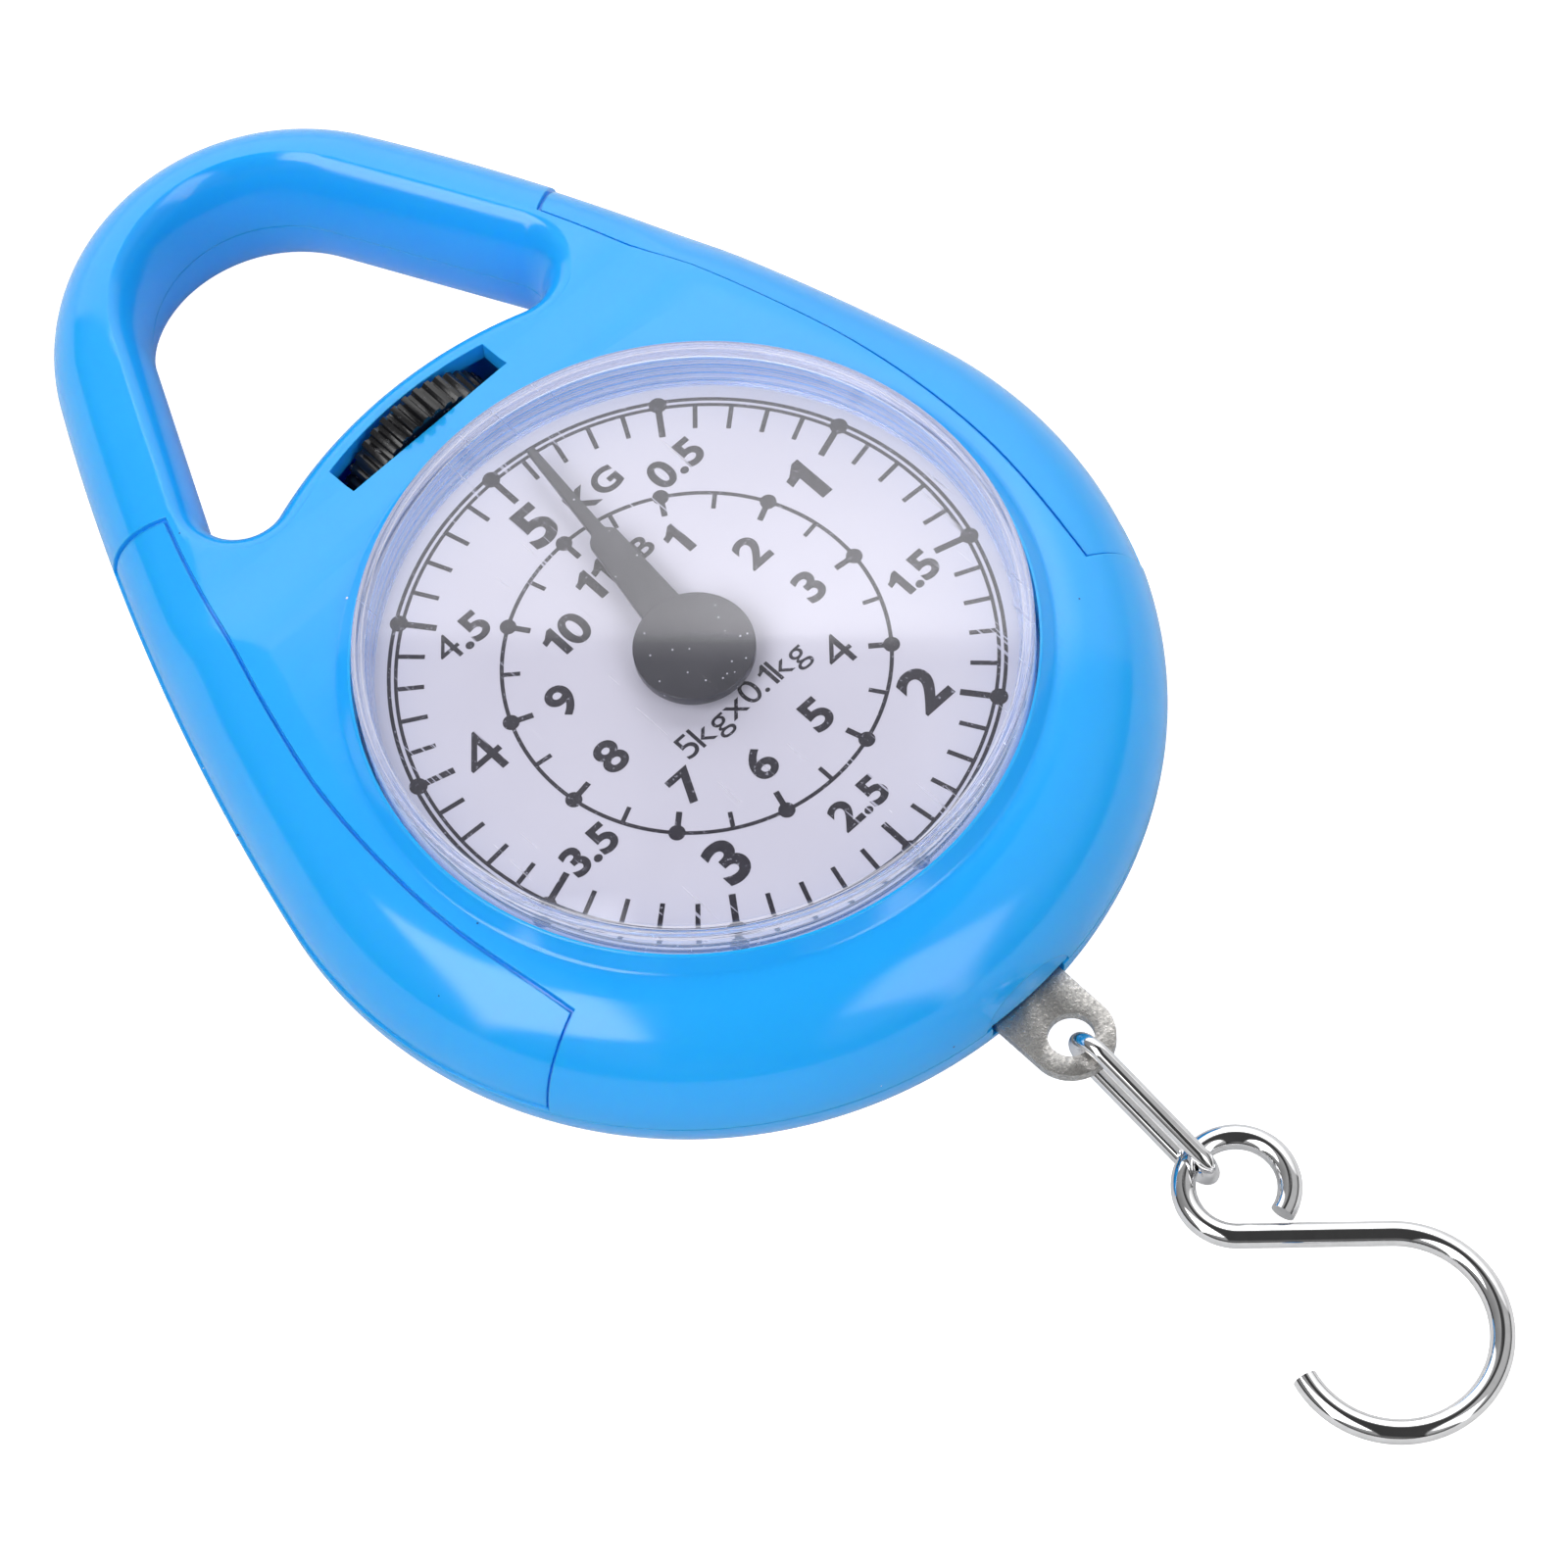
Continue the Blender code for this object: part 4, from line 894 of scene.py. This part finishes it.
def front_shell():
    edge = offsets(COLLAR_TOP_R, COLLAR_TOP_Z, COLLAR_EDGE)
    foot = offsets(COLLAR_FOOT_R, COLLAR_FOOT_Z, COLLAR_FOOT)
    profile = [(COLLAR_INNER_R, edge[0][1])] + edge + foot
    profile += [(foot[-1][0], LEDGE_Z), (COLLAR_INNER_R, LEDGE_Z)]
    collar = turned("collar", profile, ROUND_STEPS, closed=True)
    window = turned("window", (
        (0, WINDOW_HIGH_Z), (WINDOW_R, WINDOW_HIGH_Z), (WINDOW_R, LEDGE_Z), (LEDGE_R, LEDGE_Z),
        (LEDGE_R, WINDOW_LOW_Z), (0, WINDOW_LOW_Z)), ROUND_STEPS)
    bosses = [upright(BOSS_R, place, SEAM_Z + BOSS_GAP, ROOF_Z + BOSS_ROOT) for place in SCREW_PLACES]
    steps = [("UNION", collar)] + cut_by(hollow(FRONT_SPACE), handle_spool())
    steps += [("UNION", boss) for boss in bosses]
    steps += cut_by(
        window, wheel_slot(WHEEL_SLOT_HALF_WIDTH, ROOF_Z - OVERCUT, FACE_Z + OVERCUT), bar_exit(),
        recess_skin(1, RECESS_DEPTH), recess_skin(-1, RECESS_DEPTH),
        recess_skin(1, GROOVE_DEPTH, border_only=True), recess_skin(-1, GROOVE_DEPTH, border_only=True),
        exit_recess())
    finish_shell("shell_front", carved(front_solid(SEAM_Z + SEAM_GAP / 2), steps), "front_shell")


def rear_shell():
    bosses = [upright(BOSS_R, place, FLOOR_Z - BOSS_ROOT, SEAM_Z - BOSS_GAP) for place in SCREW_PLACES]
    steps = cut_by(hollow(REAR_SPACE), handle_spool()) + [("UNION", boss) for boss in bosses]
    for place in SCREW_PLACES:
        steps += cut_by(upright(SCREW_BORE_R, place, -OVERCUT, SCREW_BORE_TOP_Z),
                        upright(SCREW_SINK_R, place, -OVERCUT, SCREW_SINK_Z, sides=64))
    steps += cut_by(wheel_slot(REAR_SLOT_HALF_WIDTH, -OVERCUT, FLOOR_Z + OVERCUT), bar_exit())
    finish_shell("shell_rear", carved(rear_solid(), steps), "rear_shell")


def case_screws():
    face = [(SCREW_HEAD_R - inwards * MM, z * MM) for inwards, z in SCREW_FACE]
    profile = [(0, SCREW_TOP_Z), (SCREW_HEAD_R, SCREW_TOP_Z)] + face
    profile.append((0, SCREW_MIDDLE_Z))
    for number, place in enumerate(SCREW_PLACES, 1):
        head = turned("head", profile, 48)
        cross = [box((-x, -y, 0), (x, y, CROSS_DEPTH_Z))
                 for x, y in ((CROSS_HALF_LENGTH, CROSS_HALF_WIDTH), (CROSS_HALF_WIDTH, CROSS_HALF_LENGTH))]
        mesh = bevelled(carved(head, cut_by(*cross)), 0.06 * MM, segments=2)
        moved(mesh, Matrix.Translation(place.to_3d()))
        show(f"case_screw_head_{number}", smooth(mesh), "case", "screw_steel", ZINC, f"case_screw_{number}")


# -------- dial and lens

def dial():
    low_z = DIAL_Z - DIAL_THICKNESS
    ground = turned("dial", ((DIAL_HOLE_R, DIAL_Z), (DIAL_R, DIAL_Z), (DIAL_R, low_z), (DIAL_HOLE_R, low_z)),
                    steps=160, closed=True)
    show("dial_ground", smooth(ground), "case", "dial_white", PAPER, "dial_plate")


def show_ink(name, mesh):
    show(name, mesh, "case", "dial_white", INK)


def prism(bm, outline, height):
    """A thin closed slab of ink on the dial."""
    low = [bm.verts.new((x, y, DIAL_Z)) for x, y in outline]
    high = [bm.verts.new((x, y, DIAL_Z + height)) for x, y in outline]
    bm.faces.new(high)
    bm.faces.new(list(reversed(low)))
    bridge(bm, low, high)


def tick(bm, turn, inner, outer, width):
    """A radial line, clockwise from the top by a share of a turn."""
    angle = 2 * math.pi * turn
    along = Vector((math.sin(angle), math.cos(angle)))
    across = Vector((along.y, -along.x)) * width / 2
    corners = [along * inner - across, along * inner + across, along * outer + across, along * outer - across]
    prism(bm, [tuple(corner) for corner in corners], TICK_HEIGHT)


def dot(bm, turn, distance, radius):
    angle = 2 * math.pi * turn
    centre = (distance * math.sin(angle), distance * math.cos(angle))
    prism(bm, circle(centre, radius, 24), PRINT_HEIGHT)


def ring(inner, outer):
    top = DIAL_Z + RING_HEIGHT
    profile = ((inner, top), (outer, top), (outer, DIAL_Z), (inner, DIAL_Z))
    return turned("ring", profile, steps=180, closed=True)


def scales():
    """The kilogram scale round the edge and the pound scale inside it."""
    bm = bmesh.new()
    for scale in (KILOGRAM_SCALE, POUND_SCALE):
        for step in range(scale["steps"]):
            numbered = step % scale["every"] == 0
            turn = step / scale["steps"]
            start, width = scale["long"] if numbered else scale["short"]
            tick(bm, turn, start * PRINT_R, scale["end"] * PRINT_R, width)
            if numbered:
                distance, radius = scale["dots"]
                dot(bm, turn, distance * PRINT_R, radius)
    marks = mesh_from(bm, "marks")
    rings = [ring(inner, outer) for inner, outer in RINGS]
    show_ink("dial_scales", joined("dial_scales", [marks] + rings))


def figure_one(weight):
    """A 1 with a slanted flag, which the built-in letters lack."""
    stem = 0.10 + 2 * weight
    top, left = 0.70, 0.15
    flag_tip = top - 0.15
    outline = [(left, 0), (left + stem, 0), (left + stem, top), (left + 0.4 * stem, top),
               (0.07, flag_tip + 0.02), (0, flag_tip), (0, flag_tip - 0.02 - 0.7 * stem),
               (left, top - 0.10 - 0.9 * stem)]
    return plate("figure_one", [outline], -LETTER_HALF_DEPTH, LETTER_HALF_DEPTH)


def glyph(character, weight):
    """One character's mesh with its left edge at x = 0, and its width. A bold 4 would fill in."""
    if character == "1":
        mesh = figure_one(weight)
    else:
        letters = bpy.data.curves.new("glyph", "FONT")
        letters.body = character
        letters.offset = 0.0 if character == "4" else weight
        letters.extrude = LETTER_HALF_DEPTH
        letters.resolution_u = 6
        mesh = mesh_of(new_object("glyph", letters))
    left = min(v.co.x for v in mesh.vertices)
    moved(mesh, Matrix.Translation((-left, 0, 0)))
    return mesh, max(v.co.x for v in mesh.vertices)


def label(text, x, y, height, weight):
    """A word or number in ink, centred on a place of the dial, as tall as given in dial radii."""
    pieces = []
    end = 0.0
    for character in text:
        piece, width = glyph(character, weight)
        pieces.append(moved(piece, Matrix.Translation((end, 0, 0))))
        end += width + LETTER_GAP
    mesh = joined("label", pieces)
    xs = [v.co.x for v in mesh.vertices]
    ys = [v.co.y for v in mesh.vertices]
    scale = height * PRINT_R / (max(ys) - min(ys))
    middle = Vector(((max(xs) + min(xs)) / 2, (max(ys) + min(ys)) / 2, -LETTER_HALF_DEPTH))
    target = Vector((x * PRINT_R, y * PRINT_R, DIAL_Z))
    size = Matrix.Diagonal((scale * LETTER_STRETCH, scale, PRINT_HEIGHT / (2 * LETTER_HALF_DEPTH), 1))
    return moved(mesh, Matrix.Translation(target) @ size @ Matrix.Translation(-middle))


def numbers():
    for name, mesh_name, labels, weight in (
            ("dial_kilogram_numbers", "kilograms", KILOGRAM_LABELS, KILOGRAM_WEIGHT),
            ("dial_pound_numbers", "pounds", POUND_LABELS, POUND_WEIGHT)):
        words = [label(*place, weight) for place in labels]
        show_ink(name, joined(mesh_name, words))
    show_ink("dial_capacity", label(*CAPACITY_LABEL, weight=0.0))


def lens():
    ceiling = LENS_TOP_Z - LENS_THICKNESS
    profile = [(0, LENS_TOP_Z)] + offsets(LENS_R, LENS_TOP_Z, LENS_EDGE)
    profile += [(LENS_R, LENS_FOOT_Z), (LENS_INNER_R, LENS_FOOT_Z)]
    profile += offsets(LENS_INNER_R, ceiling, LENS_INNER_EDGE) + [(0, ceiling)]
    show("lens_drum", smooth(turned("lens", profile, steps=240), 30), "case", "lens_clear", CLEAR, "lens")


def pointer():
    right = [(x * MM, y * MM) for x, y in POINTER_SIDE] + [(POINTER_TIP_HALF, POINTER_TIP_Y)]
    blade = plate("blade", [mirrored(right)], POINTER_Z - POINTER_HALF_DEPTH, POINTER_Z + POINTER_HALF_DEPTH)
    top, foot = POINTER_Z + POINTER_HUB_HALF_HEIGHT, POINTER_Z - POINTER_HUB_HALF_HEIGHT
    stem_foot = foot - POINTER_STEM_LENGTH
    hub = turned("hub", ((0, top), (POINTER_HUB_R, top), (POINTER_HUB_R, foot), (POINTER_STEM_R, foot),
                         (POINTER_STEM_R, stem_foot), (0, stem_foot)), 96)
    mesh = bevelled(carved(blade, [("UNION", hub)]), 0.16 * MM)
    moved(mesh, Matrix.Rotation(POINTER_ANGLE, 4, "Z"))
    show("pointer_blade", smooth(mesh, 50), "pointer", "pointer_grey", GREY, "pointer")


# -------- moving pieces

def zero_wheel():
    """Ridges with a flat crest and sloping flanks."""
    points = []
    pitch = 2 * math.pi / WHEEL_RIDGES
    for ridge in range(WHEEL_RIDGES):
        for share, drop in WHEEL_RIDGE_SHAPE:
            radius = WHEEL_R - drop * WHEEL_RIDGE_DEPTH
            angle = ridge * pitch + share * pitch
            points.append((radius * math.cos(angle), radius * math.sin(angle)))
    mesh = plate("wheel", [points, circle((0, 0), WHEEL_BORE_R)], WHEEL_LOW_Y, WHEEL_HIGH_Y)
    mesh = bevelled(mesh, 0.09 * MM, segments=2, angle=25)
    moved(mesh, Matrix.Translation((0, 0, WHEEL_Z)) @ Matrix.Rotation(math.radians(-90), 4, "X"))
    show("zero_wheel_ridged", smooth(mesh, 28), "zero_wheel", "wheel_black", BLACK, "zero_wheel")


def rack():
    """The toothed side of the bar's slot, from its lowest tooth up."""
    points = []
    for tooth in RACK_TEETH:
        y = tooth * TOOTH_PITCH
        for x, offset in ((RACK_ROOT_X, -TOOTH_ROOT_HALF), (RACK_TIP_X, -TOOTH_TIP_HALF),
                          (RACK_TIP_X, TOOTH_TIP_HALF), (RACK_ROOT_X, TOOTH_ROOT_HALF)):
            points.append((x, y + offset * MM))
    return points


def load_bar():
    tab = arc((0, TAB_HOLE_Y), TAB_HALF_WIDTH, -math.pi / 2, 0, 24)
    half = tab + [
        (TAB_HALF_WIDTH, EAR_LOW_Y - EAR_SHOULDER), (EAR_HALF_WIDTH - EAR_CHAMFER, EAR_LOW_Y),
        (EAR_HALF_WIDTH, EAR_LOW_Y + EAR_CHAMFER), (EAR_HALF_WIDTH, EAR_HIGH_Y), (BAR_HALF_WIDTH, EAR_HIGH_Y),
        (BAR_HALF_WIDTH, BAR_TOP_Y - BAR_TOP_CHAMFER), (BAR_HALF_WIDTH - BAR_TOP_CHAMFER, BAR_TOP_Y)]
    teeth = rack()
    step_y = teeth[0][1] - RACK_STEP
    slot = [(-SLOT_HALF_WIDTH, SLOT_LOW_Y), (SLOT_HALF_WIDTH, SLOT_LOW_Y), (SLOT_HALF_WIDTH, step_y),
            (RACK_ROOT_X, step_y)] + teeth + [(RACK_ROOT_X, SLOT_HIGH_Y), (-SLOT_HALF_WIDTH, SLOT_HIGH_Y)]
    holes = [slot, circle((0, TAB_HOLE_Y), TAB_HOLE_R)]
    holes += [circle((side * SPRING_X, SPRING_LOW_HOLE_Y), SPRING_HOLE_R, 24) for side in (-1, 1)]
    mesh = plate("bar", [mirrored(half)] + holes, BAR_Z - BAR_THICKNESS / 2, BAR_Z + BAR_THICKNESS / 2)
    mesh = bevelled(mesh, 0.13 * MM, angle=50)
    show("load_bar_plate", smooth(mesh, 50), "load_bar", "bar_steel", STEEL, "load_bar")


def spring_loop(x, centre_y, towards, start=0):
    """A loop in the YZ plane that starts at an angle in degrees from +Y, or from -Y when towards is -1."""
    points = []
    for i in range(SPRING_STEPS + 1):
        angle = math.radians(start + SPRING_LOOP_SWEEP * i / SPRING_STEPS)
        points.append((x, centre_y + towards * SPRING_LOOP_R * math.cos(angle),
                       BAR_Z + SPRING_LOOP_R * math.sin(angle)))
    return points


def spring(side, name):
    """A close coil with a loop through the bar's ear and one through the crosshead.

    It is two pieces that meet at its middle.
    """
    x = side * SPRING_X
    low_loop_y = SPRING_LOW_HOLE_Y + SPRING_LOOP_R
    high_loop_y = SPRING_HIGH_HOLE_Y - SPRING_LOOP_R
    coil_low = low_loop_y + SPRING_LOOP_R + SPRING_NECK
    coil_high = high_loop_y - SPRING_LOOP_R - SPRING_NECK
    coil = []
    total = SPRING_TURNS * SPRING_STEPS
    for i in range(total + 1):
        reach = SPRING_R * min(1.0, (i + 1) / SPRING_NECK_STEPS, (total - i + 1) / SPRING_NECK_STEPS)
        angle = 2 * math.pi * i / SPRING_STEPS
        y = coil_low + (coil_high - coil_low) * i / total
        coil.append((x + reach * math.cos(angle), y, BAR_Z + reach * math.sin(angle)))
    points = spring_loop(x, low_loop_y, 1, SPRING_LOW_LOOP_START) + coil + spring_loop(x, high_loop_y, -1)
    half = len(points) // 2
    ends = (("low", points[:half + 1], "load_bar", SPRING_LOW_HOLE_Y + SPRING_HOLD),
            ("high", points[half:], "crosshead", SPRING_HIGH_HOLE_Y - SPRING_HOLD))
    for end, part, body, held_y in ends:
        mesh = smooth(wire(f"{name}_{end}", part, SPRING_WIRE_R, sides=3), 60)
        piece = show(f"{name}_coil_{end}", mesh, None, "spring_steel", SPRING, name)
        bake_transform(piece)


def link():
    along = (LINK_FOOT - LINK_TOP).normalized()
    up = (Vector((0, 0, 1)) - along * along.z).normalized()
    points = []
    for centre, start in ((LINK_TOP, 90), (LINK_FOOT, 270)):
        for i in range(LINK_BEND_STEPS + 1):
            angle = math.radians(start + 180 * i / LINK_BEND_STEPS)
            points.append(centre + LINK_BEND_R * (math.cos(angle) * along + math.sin(angle) * up))
    mesh = wire("link", points, LINK_WIRE_R, cyclic=True, sides=10)
    show("link_wire", smooth(mesh, 60), "link", "wire_chrome", CHROME, "link")


def hook_plane_z(y):
    """The hook lies in a plane that slopes from the link's foot down to the hook's lowest point."""
    low_y = HOOK_BEND.y - HOOK_BEND_R
    return HOOK_LOW_Z + (LINK_FOOT.z - HOOK_LOW_Z) * (y - low_y) / (LINK_FOOT.y - low_y)


def hook():
    between = HOOK_BEND - HOOK_EYE
    lean = math.asin((HOOK_EYE_R + HOOK_BEND_R) / between.length)
    shank_angle = math.atan2(between.y, between.x) + lean
    full_turn = 2 * math.pi
    eye = arc(HOOK_EYE, HOOK_EYE_R, HOOK_EYE_END, shank_angle - math.pi / 2 + full_turn, segments=72)
    bend = arc(HOOK_BEND, HOOK_BEND_R, shank_angle + math.pi / 2, HOOK_TIP - full_turn, segments=96)
    points = [(x, y, hook_plane_z(y)) for x, y in eye + bend]
    mesh = bevelled(wire("hook", points, HOOK_WIRE_R, sides=10), 0.1 * MM, segments=2, angle=60)
    show("hook_wire", smooth(mesh, 60), "hook", "wire_chrome", CHROME, "hook")


def dress_nodes():
    """Materials for the CAD nodes that stay."""
    finishes = (
        (BRASS, ("movement_plate", "front_bush", "rear_bush", "guide_pin", "pinion_arbor", "crosshead")),
        (ZINC, ("movement_screw_left", "movement_screw_right", "zero_screw")),
        (STEEL, ("thrust_washer",)))
    for material, names in finishes:
        for name in names:
            slots = frame["nodes"][name].data.materials
            slots.clear()
            slots.append(material)


# -------- studio

CAMERA_PLACE = Vector((-0.13613, -0.19130, 0.42748))
CAMERA_RIGHT = Vector((0.7186, -0.6922, -0.0668)).normalized()
CAMERA_BACK = Vector((-0.2845, -0.3804, 0.8800)).normalized()
CAMERA_FOCAL_MM = 135
CAMERA_SENSOR_MM = 36

FLOOR_GREY = ((0.49, 0.49, 0.49), (0.51, 0.51, 0.51))
FLOOR_SEEN_BY_LIGHT = (0.72, 0.72, 0.72)
FLOOR_GLOW = 0.95
FLOOR_HALF_SIDE = 3.0
FLOOR_GAP = 0.1 * MM

# Level directions of the room: to the right of the view, and away from it.
ROOM_ACROSS = Vector((0.720, -0.694, 0))
ROOM_AWAY = Vector((0.719, 0.695, 0))
# Patches of the room: (low, high, softness) across and away, and their strength or the share of light left.
SOFT_BOXES = (
    ((-0.70, -0.20, 0.03), (-0.72, -0.08, 0.03), 4.4),
    ((0.38, 0.78, 0.04), (-0.66, -0.24, 0.04), 2.6))
DARK_PATCH = ((-0.17, 0.34, 0.02), (-0.95, 0.36, 0.04), 0.12)
PANEL_ACROSS = (-0.10, 0.30, 0.16)
PANEL_STRENGTH = 1.6
BACK_WALL_EDGE = (0.474, 0.498)
BACK_WALL_STRENGTH = 1.25
# Slow changes over the room, as (low, high, start, end).
BACK_WALL_FADE = (0.1, 0.8, 1.0, 0.45)
NEAR_WALL_FADE = (0.54, 0.80, 1.0, 0.0)
BASE_LIGHT = (-0.9, 0.5, 0.26, 0.54)
HORIZON_SHADE = (0.12, 0.42, 0.18, 1.0)


def camera():
    data = bpy.data.cameras.new("camera")
    data.sensor_width = CAMERA_SENSOR_MM
    data.lens = CAMERA_FOCAL_MM
    data.clip_start = 0.01
    piece = new_object("camera", data)
    up = CAMERA_BACK.cross(CAMERA_RIGHT)
    turn = Matrix((CAMERA_RIGHT, up, CAMERA_BACK)).transposed()
    piece.matrix_world = Matrix.Translation(CAMERA_PLACE) @ turn.to_4x4()
    bpy.context.scene.camera = piece


def floor():
    """A pale table that glows a little, like a lit sweep, so that shadows on it stay faint."""
    material, tree, shader = new_material("pale_floor")
    tint = ramp(tree, noise(tree, 3), 0.3, 0.7)
    fill(tree, shader, {
        "Base Color": tinted(tree, tint, *FLOOR_GREY),
        "Roughness": 0.9,
        "Specular IOR Level": 0.0,
        "Emission Color": (1, 1, 1),
        "Emission Strength": FLOOR_GLOW})
    dim = node(tree, "BsdfDiffuse", {"Color": FLOOR_SEEN_BY_LIGHT}, "BSDF")
    seen = node(tree, "LightPath", {}, "Is Camera Ray")
    surface = mix_shaders(tree, seen, dim, shader.outputs["BSDF"])
    fill(tree, tree.nodes["Material Output"], {"Surface": surface})
    bm = bmesh.new()
    bmesh.ops.create_grid(bm, x_segments=1, y_segments=1, size=FLOOR_HALF_SIDE)
    bmesh.ops.translate(bm, verts=bm.verts, vec=(0, 0, -FLOOR_GAP))
    mesh = mesh_from(bm, "floor")
    mesh.materials.append(material)
    new_object("floor", mesh)


def window(tree, value, low, high, soft):
    """One between low and high, and zero outside, with soft edges."""
    rise = ramp(tree, value, low - soft, low + soft)
    fall = ramp(tree, value, high - soft, high + soft, 1.0, 0.0)
    return multiply(tree, rise, fall)


def world():
    """A dim room with two soft boxes in front, left and right, and a bright wall behind the object.

    A direction is read by its parts along two level axes: to the right of the view, and away from it.
    """
    made = bpy.data.worlds.new("studio")
    bpy.context.scene.world = made
    made.use_nodes = True
    tree = made.node_tree
    source = node(tree, "TexCoord", {}, "Generated")
    across, away = (node(tree, "VectorMath", {0: source, 1: axis}, "Value", operation="DOT_PRODUCT")
                    for axis in (ROOM_ACROSS, ROOM_AWAY))
    height = node(tree, "SeparateXYZ", {"Vector": source}, "Z")
    above = ramp(tree, height, -0.02, 0.02)
    patches = [(multiply(tree, window(tree, across, *aside), window(tree, away, *ahead)), strength)
               for aside, ahead, strength in (*SOFT_BOXES, DARK_PATCH)]
    dark, share_left = patches.pop()
    wall = ramp(tree, away, *BACK_WALL_EDGE)
    back_wall = multiply(tree, wall, ramp(tree, across, *BACK_WALL_FADE))
    near_wall = multiply(tree, wall, ramp(tree, away, *NEAR_WALL_FADE))
    panel = multiply(tree, window(tree, across, *PANEL_ACROSS), near_wall)
    base = multiply(tree, ramp(tree, across, *BASE_LIGHT), ramp(tree, height, *HORIZON_SHADE))
    total = multiply(tree, base, ramp(tree, dark, 0.0, 1.0, 1.0, share_left))
    for mask, strength in patches + [(back_wall, BACK_WALL_STRENGTH), (panel, PANEL_STRENGTH)]:
        total = combine(tree, "ADD", total, multiply(tree, multiply(tree, mask, above), strength))
    fill(tree, tree.nodes["Background"], {"Strength": total, "Color": (1, 1, 1)})


bpy.context.scene.view_settings.view_transform = "Standard"
front_shell()
rear_shell()
case_screws()
dial()
scales()
numbers()
lens()
pointer()
zero_wheel()
load_bar()
spring(-1, "spring_left")
spring(1, "spring_right")
link()
hook()
dress_nodes()
floor()
camera()
world()
